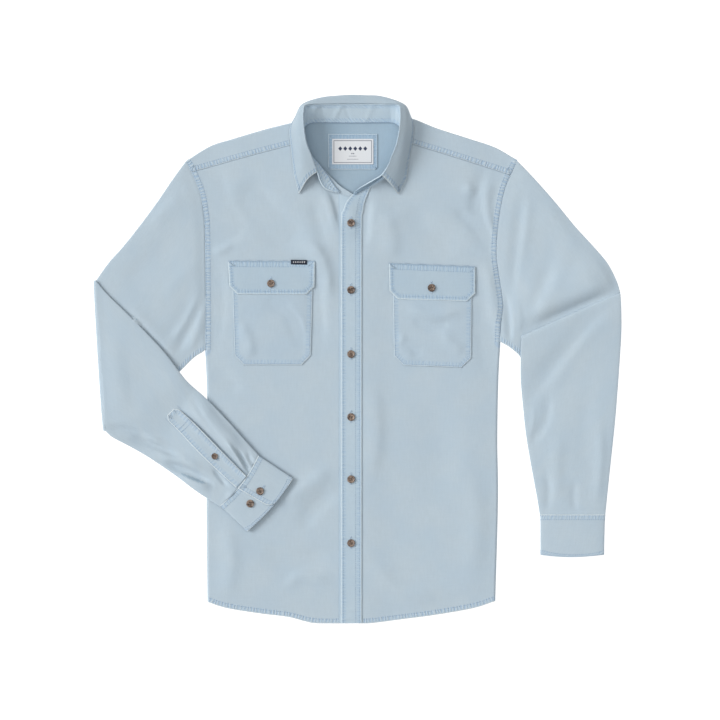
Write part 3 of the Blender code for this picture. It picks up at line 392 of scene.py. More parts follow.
def nearest(x, y, line):
    """Distance from points to a line, the run along it, and which side (left above 0)."""
    points = np.stack([np.ravel(x), np.ravel(y)], -1)
    best = np.full(len(points), 1e9)
    run = np.zeros(len(points))
    side = np.ones(len(points))
    start = 0.0
    for a, b in zip(line[:-1], line[1:]):
        along = b - a
        size = float(np.hypot(*along))
        if size < 1e-9:
            continue
        share = np.clip(((points - a) @ along) / size ** 2, 0.0, 1.0)
        gap = points - (a + share[:, None] * along)
        distance = np.hypot(gap[:, 0], gap[:, 1])
        closer = distance < best
        best[closer] = distance[closer]
        run[closer] = (start + share * size)[closer]
        side[closer] = np.sign(along[0] * gap[:, 1] - along[1] * gap[:, 0])[closer]
        start += size
    shape = np.shape(x)
    return best.reshape(shape), run.reshape(shape), side.reshape(shape)


# ---- heights ---------------------------------------------------------------------------------
def front_under(x, y):
    """Under face of the single front layer."""
    side = smooth((x - SIDE_X[0]) / SIDE_FALL) * smooth((SIDE_X[1] - x) / SIDE_FALL)
    hem = smooth((y - HEM_Y) / HEM_FALL)
    near = ((x - NECK_CENTRE[0]) ** 2 + (y - NECK_CENTRE[1]) ** 2) / (2 * NECK_REACH ** 2)
    return LAYER + side * hem * (BODY_SWELL + NECK_SWELL * np.exp(-near))


FOLD_WIDTH = 0.85
FOLD_GAIN = {"right_front": 2.5, "left_front": 2.5, "right_pocket": 2.4, "left_pocket": 2.4,
             "right_upper": 1.5, "right_forearm": 1.7, "left_upper": 1.5, "left_forearm": 1.5}


def folds(name, x, y):
    """Rise and fall of the folds named for one stretch of cloth."""
    total = np.zeros(np.shape(x))
    for x1, y1, xm, ym, x2, y2, left, right, height in FOLDS[name]:
        line = Path([(x1, y1), (xm, ym), (x2, y2)]).plan(4.0)
        left, right = left * FOLD_WIDTH, right * FOLD_WIDTH
        distance, run, side = nearest(x, y, line)
        width = np.where(side > 0, left, right)
        share = run / (len(line) * 4.0)
        ends = smooth(share / 0.3) * smooth((1.0 - share) / 0.3)
        total += height * np.exp(-(distance / width) ** 2) * (0.15 + 0.85 * ends)
    return total * FOLD_GAIN[name]


def front_shape(x, y):
    """Folds of both fronts, so that the pockets and the placket follow them too."""
    return folds("right_front", x, y) + folds("left_front", x, y)


def soft_floor(value, floor, blend=0.3):
    """The value kept above a floor, bent smoothly where it comes near."""
    return floor + blend * np.logaddexp(0.0, (value - floor) / blend)


def body_under(x, y):
    return soft_floor(front_under(x, y) + front_shape(x, y), CLOTH + 0.1)


def left_front_under(x, y):
    return body_under(x, y) + LAYER * (1.0 - smooth((x - PLACKET_X) / CENTRE_LIFT))


def right_forearm_under(x, y):
    """The right forearm lies on its own upper arm, on the surface and on the body."""
    underarm = np.array([(row[2], row[3]) for row in RIGHT_UPPER][::-1], float)
    distance, _, side = nearest(x, y, underarm)
    outside = np.where(side > 0, -distance, distance)
    on_arm = 1.0 - smooth(outside / REST_FALL)
    on_body = 1.0 - smooth((SIDE_X[0] + 1.5 - x) / REST_FALL)
    body_top = front_under(x, y) + CLOTH + FOREARM_CLEAR
    return np.maximum(ARM_TOP * on_arm, body_top * on_body)


def left_forearm_under(x, y):
    return LEFT_RAISED_BY * smooth((LEFT_RAISED_FROM - y) / RAISE_FALL)


# ---- seams: where they run and what they do to the surface -----------------------------------
# rows of topstitching, as distances from the edge or the seam that they follow
TWIN_ROWS = (2.0, 7.6)
CUFF_ROWS = (2.2, 8.0)
HEM_ROW = 6.4
PLACKET_ROW = 3.8


class Seams:
    """The seams of one flat piece. A ditch is sewn to the next piece, a fold is a turned edge. A plain
    line dips a little and is painted dark as shade, where an edge lies over the piece.
    """

    def __init__(self, ditches=(), turned=(), plain=(), ditch_rows=TWIN_ROWS,
                 turned_rows=(1.8, 6.5)):
        self.ditches, self.turned, self.plain = [
            [run if isinstance(run, np.ndarray) else Path(run).plan() for run in runs]
            for runs in (ditches, turned, plain)]
        self.ditch_rows = ditch_rows
        self.turned_rows = turned_rows

    def fields(self, x, y):
        ditch = np.full(np.shape(x), NO_SEAM)
        turned = np.full(np.shape(x), NO_SEAM)
        run = np.zeros(np.shape(x))
        for kind, lines in ((0, self.ditches), (1, self.turned)):
            for number, line in enumerate(lines):
                distance, along, _ = nearest(x, y, line)
                closer = distance < np.minimum(ditch, turned)
                run = np.where(closer, along + 500.0 * (number + 4 * kind), run)
                if kind:
                    turned = np.minimum(turned, distance)
                else:
                    ditch = np.minimum(ditch, distance)
        plain = np.full(np.shape(x), NO_SEAM)
        for line in self.plain:
            plain = np.minimum(plain, nearest(x, y, line)[0])
        return {"ditch": ditch, "turned": turned, "run": run, "plain": plain}

    def relief(self, fields, round_edge=1.0):
        """Rise of the surface at the seams: a dip, a padded band and grooves at its stitches."""
        ditch, turned = fields["ditch"], fields["turned"]
        rise = -0.6 * np.exp(-(ditch / 0.8) ** 2)
        if self.ditch_rows:
            rise += 0.45 * smooth(ditch / 1.5) * smooth((self.ditch_rows[-1] + 2.2 - ditch) / 1.6)
        for row in self.ditch_rows:
            rise -= 0.28 * np.exp(-((ditch - row) / 0.8) ** 2)
        near = np.clip(1.0 - turned / round_edge, 0.0, 1.0)
        rise -= 0.75 * (1.0 - np.sqrt(1.0 - near ** 2 * 0.98))
        for row in self.turned_rows:
            rise -= 0.24 * np.exp(-((turned - row) / 0.8) ** 2)
        if self.turned_rows:
            rise += 0.22 * smooth((self.turned_rows[-1] + 1.6 - turned) / 1.2)
        if "plain" in fields:
            rise -= 0.3 * np.exp(-(fields["plain"] / 1.0) ** 2)
        return rise


def densely(run, spacing=1.5):
    """A straight-sided line with points close together."""
    made = [np.array([run[0][:2]], float)]
    for a, b in zip(run, run[1:]):
        a, b = np.array(a[:2], float), np.array(b[:2], float)
        count = max(1, int(np.hypot(*(b - a)) / spacing))
        made.append(a + (b - a) * (np.arange(1, count + 1) / count)[:, None])
    return np.vstack(made)


# ---- meshes ----------------------------------------------------------------------------------
SHEETS = {}


def make_wall(name, low, high, fields, material, wrap=False, sharp=50.0):
    """A closed wall between two grids of points, with its seam fields as attributes."""
    rows, columns = high.shape[:2]
    verts = np.concatenate([low.reshape(-1, 3), high.reshape(-1, 3)]) * MM
    index = np.arange(rows * columns).reshape(rows, columns)
    if wrap:
        index = np.concatenate([index, index[:, :1]], axis=1)
    quads = np.stack([index[:-1, :-1], index[:-1, 1:], index[1:, 1:], index[1:, :-1]], -1)
    quads = quads.reshape(-1, 4)
    over = rows * columns
    parts = [quads + over, quads[:, ::-1]]
    borders = [index[0], index[-1][::-1]]
    if not wrap:
        borders += [index[::-1, 0], index[:, -1]]
    for line in borders:
        parts.append(np.stack([line[:-1], line[1:], line[1:] + over, line[:-1] + over], -1))
    faces = np.concatenate(parts)
    corner = verts[faces]
    volume = np.einsum("ij,ij->i", corner[:, 0], np.cross(corner[:, 1], corner[:, 2])).sum()
    volume += np.einsum("ij,ij->i", corner[:, 0], np.cross(corner[:, 2], corner[:, 3])).sum()
    if volume < 0:
        faces = faces[:, ::-1]
    mesh = bpy.data.meshes.new(name)
    mesh.from_pydata(verts.tolist(), [], faces.tolist())
    cloth = fields.pop("cloth")
    fields.setdefault("plain", NO_SEAM)
    inner_side = np.repeat(np.array([1.0, 0.0] if name != "back" else [0.0, 1.0], np.float32),
                           rows * columns)
    mesh.attributes.new("inner_side", "FLOAT", "POINT").data.foreach_set("value", inner_side)
    both = np.zeros((rows * columns * 2, 3), np.float32)
    both[:, :2] = np.tile(cloth.reshape(-1, 2) * MM, (2, 1))
    mesh.attributes.new("cloth", "FLOAT_VECTOR", "POINT").data.foreach_set("vector", both.ravel())
    for key, values in fields.items():
        data = np.tile(np.broadcast_to(values, (rows, columns)).ravel(), 2).astype(np.float32)
        mesh.attributes.new(key, "FLOAT", "POINT").data.foreach_set("value", data)
    mesh.materials.append(material)
    mesh.shade_smooth()
    mesh.set_sharp_from_angle(angle=math.radians(sharp))
    thing = bpy.data.objects.new(name + "_cloth", mesh)
    bpy.context.scene.collection.objects.link(thing)
    SHEETS[name] = {"object": thing, "high": high, "low": low}
    return thing


def laid(name, rows, under, seams, material, thick=CLOTH, puff=0.0, extra=None):
    """A flat piece on whatever has its upper face at under(x, y)."""
    x, y = rows[..., 0], rows[..., 1]
    base = under(x, y)
    fields = seams.fields(x, y)
    inner = np.minimum(fields["ditch"], fields["turned"])
    rise = seams.relief(fields) + puff * smooth((inner - 8.0) / 30.0)
    if extra is not None:
        rise = rise + extra(x, y) * smooth((inner - 3.0) / 9.0)
    low = np.stack([x, y, base], -1)
    high = np.stack([x, y, base + np.maximum(thick + rise, 0.25)], -1)
    fields["cloth"] = np.stack([x, y], -1)
    return make_wall(name, low, high, fields, material)


def normals_of(grid):
    along = np.gradient(grid, axis=1)
    down = np.gradient(grid, axis=0)
    normal = np.cross(along, down)
    return normal / np.maximum(np.linalg.norm(normal, axis=-1, keepdims=True), 1e-9)


def runs_of(grid):
    """Distance run along the rows and along the columns of a grid."""
    across = np.linalg.norm(np.diff(grid, axis=1), axis=-1)
    down = np.linalg.norm(np.diff(grid, axis=0), axis=-1)
    across = np.concatenate([np.zeros((len(grid), 1)), np.cumsum(across, axis=1)], axis=1)
    down = np.concatenate([np.zeros((1, grid.shape[1])), np.cumsum(down, axis=0)])
    return across, down


def edge_fields(grid, ditch=(), turned=()):
    """Seam fields of a formed piece, from the sides of its own grid."""
    across, down = runs_of(grid)
    gaps = {"start": across, "end": across[:, -1:] - across,
            "first": down, "last": down[-1:] - down}
    fields = {"ditch": np.full(across.shape, NO_SEAM), "turned": np.full(across.shape, NO_SEAM),
              "run": np.zeros(across.shape)}
    for kind, sides in (("ditch", ditch), ("turned", turned)):
        for number, side in enumerate(sides):
            gap = gaps[side]
            along = down if side in ("start", "end") else across
            closer = gap < np.minimum(fields["ditch"], fields["turned"])
            fields["run"] = np.where(closer, along + 500.0 * number, fields["run"])
            fields[kind] = np.minimum(fields[kind], gap)
    fields["cloth"] = np.stack([across, down], -1)
    return fields


def formed(name, grid, fields, seams, material, thick, flip=False, lean=0.5):
    """A wall about a grid; the seams' relief is raised on its outer face."""
    normal = normals_of(grid) * (-1.0 if flip else 1.0)
    rise = seams.relief(fields, 0.8)
    low = grid - normal * thick * lean
    high = grid + normal * np.maximum(thick * (1 - lean) + rise, 0.1 - thick * lean)[..., None]
    return make_wall(name, low, high, fields, material)


def chain(*runs, breaks=(0.0, 1.0)):
    """Curves end to end, each with its share of the whole."""
    paths = [Path(run) for run in runs]

    def at(share):
        made = np.zeros(share.shape + (3,))
        for path, a, b in zip(paths, breaks, breaks[1:]):
            here = (share >= a) & (share <= b)
            made[here] = path.at((share[here] - a) / (b - a))
        return made
    return at


# ---- the body --------------------------------------------------------------------------------
ARM_BREAK = 12 / 21


def make_back(denim):
    keep_right = [p for p in joined(SIDE_R, ARMHOLE_R) if p[1] < BACK_YOKE_Y] + [(-231.8, 237.2)]
    keep_left = [p for p in joined(SIDE_L, ARMHOLE_L) if p[1] < BACK_YOKE_Y] + [(214.4, 237.2)]
    u = levels(430, 8.0, edge=(0.0, 2.5, 6.0))
    v = levels(600, 8.0, edge=(0.0, 2.5, 6.0))
    rows = patch(chain(HEM_RIGHT, HEM_LEFT, breaks=(0.0, 0.5, 1.0)),
                 chain([(-231.8, 237.2), (214.4, 237.2)]),
                 chain(keep_right), chain(keep_left), u, v)
    inset = np.interp(u, (0.0, 0.006, 0.994, 1.0), (2.6, 0.0, 0.0, -2.6))
    rows[..., 0] += inset[None]
    seams = Seams(turned=[HEM_RIGHT, HEM_LEFT], turned_rows=())
    return laid("back", rows, lambda x, y: 0.0 * x, seams, denim)


def rolled(under, side):
    """Heights of a front that rolls down to the surface at the side seam."""
    line = Path(side).plan()

    def at(x, y):
        distance = nearest(x, y, line)[0]
        base = under(x, y)
        drop = (1.0 - smooth(distance / 2.6)) * (base - 0.15)
        round_over = 1.1 * (1.0 - np.sqrt(1.0 - np.clip(1.0 - distance / 5.0, 0, 1) ** 2 * 0.98))
        return base - drop - 0.4 * round_over
    return at


def flap_line(name):
    """The dent that a flap's upper edge leaves in the front, painted dark as shade."""
    left, right, top = FLAPS[name][:3]
    return densely([(left[0], top[0] + 0.7), (right[0], top[1] + 0.7)])


def make_fronts(denim):
    v = np.union1d(levels(640), [ARM_BREAK])
    u = np.union1d(levels(225, last=False), [0.5])
    up = (0.0, ARM_BREAK, 1.0)
    half = (0.0, 0.5, 1.0)
    right = patch(chain(HEM_RIGHT), chain(YOKE_SEAM_R, NECK_R, breaks=half),
                  chain(SIDE_R, ARMHOLE_R[:-1], breaks=up), chain([HEM_RIGHT[-1], NECK_R[-1]]),
                  u, v)
    # the plain lines under the yoke's edge and the flap's upper edge are painted shade
    seams = Seams(ditches=[ARMHOLE_R], turned=[HEM_RIGHT], turned_rows=(HEM_ROW,),
                  plain=[YOKE_SEAM_R, flap_line("right_flap")])
    laid("right_front", right, rolled(body_under, SIDE_R), seams, denim)
    u = np.union1d(levels(225, first=False), [0.5])
    left = patch(chain(HEM_LEFT), chain(NECK_L, YOKE_SEAM_L, breaks=half),
                 chain([HEM_LEFT[0], NECK_L[0]]), chain(SIDE_L, ARMHOLE_L[:-1], breaks=up), u, v)
    # the plain lines under the yoke's edge and the flap's upper edge are painted shade
    seams = Seams(ditches=[ARMHOLE_L], turned=[HEM_LEFT], turned_rows=(HEM_ROW,),
                  plain=[YOKE_SEAM_L, flap_line("left_flap")])
    laid("left_front", left, rolled(left_front_under, SIDE_L), seams, denim)


def yoke_side(seam, shoulder, columns):
    """Middle points and outward directions of one side, from the front seam to the back."""
    seam_line = Path([(x, y + SEAM * 1.3) for x, y in seam]).at(columns)
    fold_line = Path(shoulder).at(columns)
    shares = np.concatenate([levels(36, first=True, last=False), [0.93]])
    shares = np.unique(shares[shares < 0.94])
    points, outs = [], []
    for share in shares:
        p = seam_line + (fold_line - seam_line) * share
        p[:, 2] = body_under(p[:, 0], p[:, 1]) + CLOTH / 2
        points.append(p)
        outs.append(np.tile([0.0, 0.0, 1.0], (len(p), 1)))
    along = np.gradient(fold_line, axis=0)
    out = np.stack([-along[:, 1], along[:, 0], 0 * along[:, 0]], -1)
    out /= np.linalg.norm(out, axis=1, keepdims=True)
    out[out[:, 1] < 0] *= -1
    radius = (body_under(fold_line[:, 0], fold_line[:, 1]) / 2)[:, None]
    up = np.array([[0.0, 0.0, 1.0]])
    for turn in np.radians(np.arange(0, 181, 15)):
        middle = fold_line * [1, 1, 0] - out * (radius + CLOTH / 2)
        points.append(middle + out * radius * math.sin(turn)
                      + up * (CLOTH / 2 + radius * (1 + math.cos(turn))))
        outs.append(out * math.sin(turn) + up * math.cos(turn))
    return points, outs


def make_yoke(denim):
    """One piece that lies on the back, folds over both shoulders and ends on the fronts."""
    columns = levels(172, first=False)
    right, right_out = yoke_side(YOKE_SEAM_R[::-1], SHOULDER_R, columns)
    left, left_out = yoke_side(YOKE_SEAM_L, SHOULDER_L, columns)
    back = finer(YOKE_BACK, [3] * (len(YOKE_BACK) - 1))
    points, outs = list(right), list(right_out)
    for row in back:
        a = np.array([row[0], row[1] + NECK_TURNING, CLOTH / 2])
        b = np.append(row[2:], CLOTH / 2)
        points.append(a + (b - a) * columns[:, None])
        outs.append(np.tile([0.0, 0.0, -1.0], (len(columns), 1)))
    points += left[::-1]
    outs += left_out[::-1]
    middle, out = np.array(points), np.array(outs)
    x, y = middle[..., 0], middle[..., 1]
    seams = Seams(ditches=[ARMHOLE_R[-3:], ARMHOLE_L[-3:]], turned=[YOKE_SEAM_R, YOKE_SEAM_L],
                  turned_rows=TWIN_ROWS)
    fields = seams.fields(x, y)
    facing = out[..., 2] > 0.3
    for kind in ("ditch", "turned"):
        fields[kind] = np.where(facing, fields[kind], NO_SEAM)
    rise = np.where(facing, seams.relief(fields), 0.0)
    low = middle - out * CLOTH / 2
    high = middle + out * (CLOTH / 2 + rise)[..., None]
    fields["cloth"] = np.stack([x, y], -1)
    make_wall("yoke", low, high, fields, denim)


def strip(right_edge, left_edge):
    """A grid between two long edges."""
    u = levels(31, 2.6)
    v = levels(Path(right_edge).length, 3.2)
    first, second = Path(right_edge).at(v), Path(left_edge).at(v)
    return first[:, None] + (second - first)[:, None] * u[None, :, None]


def cockle(x, y):
    """Small cross wrinkles of a strip that has shrunk less than its seams."""
    turn = y * 2 * math.pi / 11.0 + 2.4 * np.sin(y / 23.0) + x * 0.12
    return 0.42 * np.sin(turn) * (0.55 + 0.45 * np.sin(y / 31.0 + 1.0))


def make_placket(denim):
    rows = strip(BUTTON_STAND_RIGHT_EDGE, BUTTON_STAND_LEFT_EDGE)
    # the plain line along the button stand's outer edge is painted shade
    laid("button_stand", rows, lambda x, y: body_under(x, y) + LAYER,
         Seams(plain=[BUTTON_STAND_RIGHT_EDGE]), denim)
    rows = strip(PLACKET_RIGHT_EDGE, PLACKET_LEFT_EDGE)
    seams = Seams(turned=[PLACKET_RIGHT_EDGE, PLACKET_LEFT_EDGE], turned_rows=(PLACKET_ROW,))
    laid("placket", rows, lambda x, y: body_under(x, y) + 2 * LAYER, seams, denim, extra=cockle)


# ---- the collar ------------------------------------------------------------------------------
def stand_foot(x, y, rests):
    if rests == "back":
        return STAND_FOOT_BACK
    if rests == "fold":
        return STAND_FOOT_FOLD
    return float(front_under(np.float64(x), np.float64(y))) + STAND_FOOT[rests]


def stand_table():
    return [(x, y, stand_foot(x, y, rests), tx, ty, tz) for x, y, rests, tx, ty, tz in STAND]


def make_collar(denim, lit_stand_denim):
    table = stand_table()
    rows = finer(table, [9] * (len(table) - 1))
    v = levels(30, 1.6, edge=(0.0, 0.4, 0.9, 1.6))
    grid = rows[:, None, :3] + (rows[:, None, 3:] - rows[:, None, :3]) * v[None, :, None]
    across, down = runs_of(grid)
    share_of = np.arange(len(rows))[:, None] / (len(rows) - 1.0)
    crease = np.zeros(down.shape)
    for share, slant, depth in STAND_CREASES:
        gap = (share_of - share) * down[-1, 0] - slant * (across - 15.0)
        crease += depth * np.exp(-(gap / 2.6) ** 2) * smooth(across / 6.0) * smooth(
            (across[:, -1:] - across) / 6.0)
    grid = grid + normals_of(grid) * crease[..., None]
    fields = edge_fields(grid, ditch=("start",), turned=("first", "last", "end"))
    # the stand is given the lighter copy of the denim, painted light
    formed("collar_stand", grid, fields, Seams(ditch_rows=(1.8,), turned_rows=(2.2,)),
           lit_stand_denim, STIFF, flip=True)
    rows = finer([row[:2] + (row[2] + ROLL_GAP,) + row[3:] for row in LEAF],
                 [8] * (len(LEAF) - 1))
    v = levels(42, 1.9, edge=(0.0, 0.35, 0.8, 1.5))
    grid = np.array([Path([row[:3], row[3:6], row[6:]]).at(v) for row in rows])
    fields = edge_fields(grid, turned=("end", "first", "last"))
    # the collar is given the darker copy of the denim, painted shade
    formed("collar", grid, fields, Seams(turned_rows=(6.2,)), denim, STIFF, flip=True)


# ---- sleeves and cuffs -----------------------------------------------------------------------
def ring_shares(count):
    """Shares across a flattened tube, close together at both of its edges."""
    near = 0.03 * (np.arange(1, 7) / 6.0) ** 2
    middle = np.linspace(0.03, 0.97, count)[1:-1]
    return np.concatenate([[0.0], near, middle, 1.0 - near[::-1], [1.0]])


def ring(a, b, half, inset, upward, shares, bow):
    """Points round one flattened section, over its first face from a to b, then back."""
    across = (b - a) / np.linalg.norm(b - a)
    a, b, half = a + across * inset, b - across * inset, half - inset
    both = np.concatenate([shares, shares[-2:0:-1]])
    sign = np.concatenate([np.ones(len(shares)), -np.ones(len(shares) - 2)])
    rise = half * (4 * both * (1 - both)) ** 0.25 * sign
    middle = a + (b - a) * both[:, None] + bow(both)
    return middle, np.outer(rise, upward), both, sign


def armhole_bow(armhole, amount):
    path = Path(armhole[::-1])
    first, last = path.at(0.0), path.at(1.0)
    return lambda share: (path.at(share) - first - np.outer(share, last - first)) * amount


def no_bow(share):
    return np.zeros((len(share), 3))


def make_tube(name, sections, shares, under, shape, denim, seam_rows, crevices=()):
    """A sleeve from its sections; shape gives the folds on the face that shows."""
    outer, inner, cloth, show, room = [], [], [], [], []
    a, b, half, upward, bow, face = sections[0]
    back = (a + b - sections[3][0] - sections[3][1])
    back = back / np.linalg.norm(back) * 2.6
    sections = [(a + back, b + back, half * 0.86, upward, bow, face)] + sections
    a, b, half, upward, bow, face = sections[-1]
    ahead = a + b - sections[-4][0] - sections[-4][1]
    ahead = ahead / np.linalg.norm(ahead) * 3.0
    sections.append((a + ahead, b + ahead, half * 0.6, upward, bow, face))
    for a, b, half, upward, bow, face in sections:
        for inset, rings in ((0.0, outer), (CLOTH, inner)):
            middle, rise, both, sign = ring(a, b, half, inset, upward, shares, bow)
            if under is not None:
                middle[:, 2] += under(middle[:, 0], middle[:, 1], half, face)
            rings.append(middle + rise)
        show.append(np.where(sign * face > 0, smooth(both * (1 - both) * 14.0), 0.0))
        cloth.append(both * sign)
        room.append([max(0.6, 2 * half - 2 * CLOTH + 0.2)])
    outer, inner, show, room = np.array(outer), np.array(inner), np.array(show), np.array(room)
    down = runs_of(outer)[1]
    lift = shape(outer[..., 0], outer[..., 1], np.arange(len(outer))[:, None])
    lift = np.where(lift > 0, lift * RIDGE_GAIN, lift)
    lift -= 1.25 * smooth(1.0 - down / 26.0) + 0.5 * np.exp(-(down / 1.0) ** 2)
    lift = np.where(lift < 0, -room * np.tanh(-lift / room), lift) * show
    outer[..., 2] = np.maximum(outer[..., 2] + lift, 0.05)
    inner[..., 2] = np.maximum(inner[..., 2] + lift, 0.05 + CLOTH * 0.8)
    width = np.abs(np.array(cloth)) * np.linalg.norm(outer[:, 0] - outer[:, len(shares) - 1],
                                                     axis=1)[:, None]
    fields = {"ditch": np.full(down.shape, NO_SEAM), "run": down,
              "cloth": np.stack([width, down[:, :1] + 0 * width], -1)}
    near_b = np.linalg.norm(outer[:, 0] - outer[:, len(shares) - 1], axis=1)[:, None] - width
    first_rows = np.arange(len(outer))[:, None] < seam_rows
    fields["turned"] = np.where(first_rows & (np.array(cloth) > 0), near_b, NO_SEAM)
    fields["plain"] = np.full(down.shape, NO_SEAM)
    # crevices are lines painted dark as shadow, carried in the plain field
    for line in crevices:
        gap = nearest(outer[..., 0], outer[..., 1], line)[0]
        fields["plain"] = np.where(first_rows, NO_SEAM, np.minimum(fields["plain"], gap))
    return make_wall(name, inner, outer, fields, denim, wrap=True, sharp=70.0)


def make_right_sleeve(denim):
    """Flat from the armhole to the elbow, then turned over, so that the forearm lies on it."""
    up = np.array([0.0, 0.0, 1.0])
    sections = []
    shares = ring_shares(58)
    upper = finer(RIGHT_UPPER, [9, 13, 13, 12, 10, 9])
    for x1, y1, x2, y2, half, curve in upper:
        sections.append((np.array([x1, y1, 0]), np.array([x2, y2, 0]), half, up,
                         armhole_bow(ARMHOLE_R, curve), 1.0))
    x1, y1, x2, y2, half, curve = RIGHT_UPPER[-1]
    low, high = half, ARM_TOP + half
    radius = (high - low) / 2
    turned = len(sections)
    for turn in np.radians(np.arange(10, 180, 12.0)):
        shift = radius * math.sin(turn)
        level = low + radius * (1 - math.cos(turn))
        upward = np.array([math.sin(turn), 0.0, math.cos(turn)])
        sections.append((np.array([x1 - shift, y1, level]), np.array([x2 - shift, y2, level]),
                         half, upward, no_bow, 0.0))
    to_cuff = np.array(TO_CUFF)
    for row in finer(RIGHT_FOREARM, [5, 6, 10, 12, 12, 13, 12, 12, 13, 12]):
        x1, y1, x2, y2, half, bow = row
        sections.append((np.array([x1, y1, 0]), np.array([x2, y2, 0]), half, -up,
                         lambda s, b=bow: np.outer(b * np.sin(math.pi * s), to_cuff), -1.0))

    def under(x, y, half, face):
        if face > 0:
            return half
        if face == 0:
            return 0.0
        return right_forearm_under(x, y) + half

    def shape(x, y, row):
        return np.where(row < turned, folds("right_upper", x, y),
                        folds("right_forearm", x, y))

    spine = Path(GAUNTLET_SPINE).plan()
    # painted shadow lines beside both long edges of the gauntlet
    make_tube("right_sleeve", sections, shares, under, shape, denim, turned,
              crevices=[beside(spine, 13.6), beside(spine, -12.4)])


def make_left_sleeve(denim):
    """Bent at the elbow, where the forearm's end of the cloth laps over the upper arm's."""
    up = np.array([0.0, 0.0, 1.0])
    forward = np.array(LEFT_FORWARD)
    counts = [9, 12, 13, 12, 10, 9, 6, 4, 4, 4, 4, 4, 4, 5, 8, 9, 12, 15, 16, 15, 15, 14]
    table = finer(LEFT_SLEEVE, counts)
    lip = sum(counts[:LEFT_LIP_ROW])
    sections = []
    for x1, y1, z1, x2, y2, z2, half, turn, curve in table:
        turn = math.radians(min(180.0, max(0.0, turn)))
        upward = up * math.cos(turn) - forward * math.sin(turn)
        face = 1.0 if math.cos(turn) > 0.7 else 0.0
        sections.append((np.array([x1, y1, z1]), np.array([x2, y2, z2]), half, upward,
                         armhole_bow(ARMHOLE_L, curve), face))

    def shape(x, y, row):
        return np.where(row < lip, folds("left_upper", x, y), folds("left_forearm", x, y))

    make_tube("left_sleeve", sections, ring_shares(58), None, shape, denim, lip)


def make_cuff(side, under, facing, denim):
    """A band wrapped round the wrist, its upper end lapped and rounded at the corner."""
    seam_a, seam_b, free_a, free_b = [np.array(c + (0.0,)) for c in CUFFS[side][:4]]
    bow_a, bow_b = CUFFS[side][4:]
    height = np.linalg.norm(free_a - seam_a)
    closing = STIFF + 0.5
    v = levels(height, 2.6, edge=(0.0, 0.35, 0.8, 1.5, 2.4, 3.6, 5.2, 7.0, 8.8))
    first = np.array([0.0, 0.3, 0.8, 1.5, 2.5, 4.0, 6.0, 8.0]) / 205.0
    s = np.concatenate([first, np.linspace(first[-1], 1.0, 150)[1:]])
    out = (free_a - seam_a) / height
    rows = []
    for level in v:
        a = seam_a + (free_a - seam_a) * level
        b = seam_b + (free_b - seam_b) * level
        width = np.linalg.norm(b - a)
        across = (b - a) / width
        corner = max(0.0, 1.0 - (1.0 - level) * height / 13.0)
        lap = CUFF_LAP_AT + 0.01 - 0.09 * level
        lap -= 13.0 / width * (1.0 - math.sqrt(1.0 - min(0.98, corner) ** 2))
        start = math.acos(1 - 2 * lap)
        turn = start - s * 2 * math.pi * (1 + CUFF_OVERLAP)
        half = CUFF_HALF - STIFF / 2 - closing * s
        share = (1 - np.cos(turn)) / 2
        edge = (STIFF / 2 + closing * s)[:, None]
        p = (a + across * edge) * (1 - share[:, None]) + (b - across * edge) * share[:, None]
        p += np.outer((bow_a + (bow_b - bow_a) * level) * np.sin(math.pi * share), out)
        rise = half * np.sign(np.sin(turn)) * np.abs(np.sin(turn)) ** 0.6
        p[:, 2] = under(p[:, 0], p[:, 1]) + CUFF_HALF + facing * rise
        p[:, 2] += facing * 0.9 * np.exp(-(s * 205.0 / 6.0) ** 2) * level
        rows.append(p)
    grid = np.array(rows)
    fields = edge_fields(grid, turned=("first", "last", "start"))
    return formed(side + "_cuff", grid, fields, Seams(turned_rows=CUFF_ROWS), denim, STIFF,
                  flip=facing > 0)


def cast_on(*names):
    """Function that drops points on the pieces named and gives the heights (mm) there."""
    trees = [BVHTree.FromObject(SHEETS[name]["object"], bpy.context.evaluated_depsgraph_get())
             for name in names]

    def at(x, y):
        flat = np.stack([np.ravel(x), np.ravel(y)], -1) * MM
        found = np.full(len(flat), -1.0)
        for tree in trees:
            for k, (px, py) in enumerate(flat):
                hit = tree.ray_cast(Vector((px, py, 0.0)) + DROP_FROM, DOWN)
                if hit[0] is not None:
                    found[k] = max(found[k], hit[0].z / MM)
        return found.reshape(np.shape(x))
    return at


def ribbon(spine, v, u, tip):
    """A band that follows a spine, its first end cut to a blunt point."""
    path = Path(spine)
    width = Path(list(enumerate(GAUNTLET_HALF_WIDTH)))
    here = path.at(v)
    ahead = path.at(np.minimum(1.0, v + 0.02)) - path.at(np.maximum(0.0, v - 0.02))
    side = np.stack([-ahead[:, 1], ahead[:, 0], 0 * v], -1)
    side /= np.linalg.norm(side, axis=1, keepdims=True)
    half = width.at(v)[:, 1]
    half = half * (1.0 - 0.42 * np.clip(1.0 - v * path.length / tip, 0.0, 1.0))
    return here[:, None] + side[:, None] * half[:, None, None] * u[None, :, None]


def make_gauntlets(denim):
    u = np.unique(-1 + 2 * levels(25, 2.4, edge=EDGE_GRID[:6]))
    for side, spine, sleeve in (("right", GAUNTLET_SPINE, "right_sleeve"),
                                ("left", GAUNTLET_LEFT_SPINE, None)):
        length = Path(spine).length
        v = levels(length, 2.8, edge=EDGE_GRID[:6])
        grid = ribbon(spine, v, u, 6.5)
        if sleeve:
            drop = cast_on(sleeve)
            centre = drop(grid[:, 5:-5, 0], grid[:, 5:-5, 1]).mean(axis=1)
            under = drop(grid[..., 0], grid[..., 1])
            base = np.maximum(under, centre[:, None] - 0.9) + 0.25
        else:
            base = left_forearm_under(grid[..., 0], grid[..., 1]) - LAYER - SEAM
        fields = edge_fields(grid, turned=("start", "end", "first"))
        rise = Seams(turned_rows=(1.9,)).relief(fields)
        if sleeve:
            base = base + EDGE_LIFT * smooth((u[None] - 0.2) / 0.8) * smooth(v[:, None] * 5.0)
        grid[..., 2] = base
        high = grid.copy()
        high[..., 2] += CLOTH + rise * (1 if sleeve else 0)
        make_wall(side + "_gauntlet", grid, high, fields, denim)


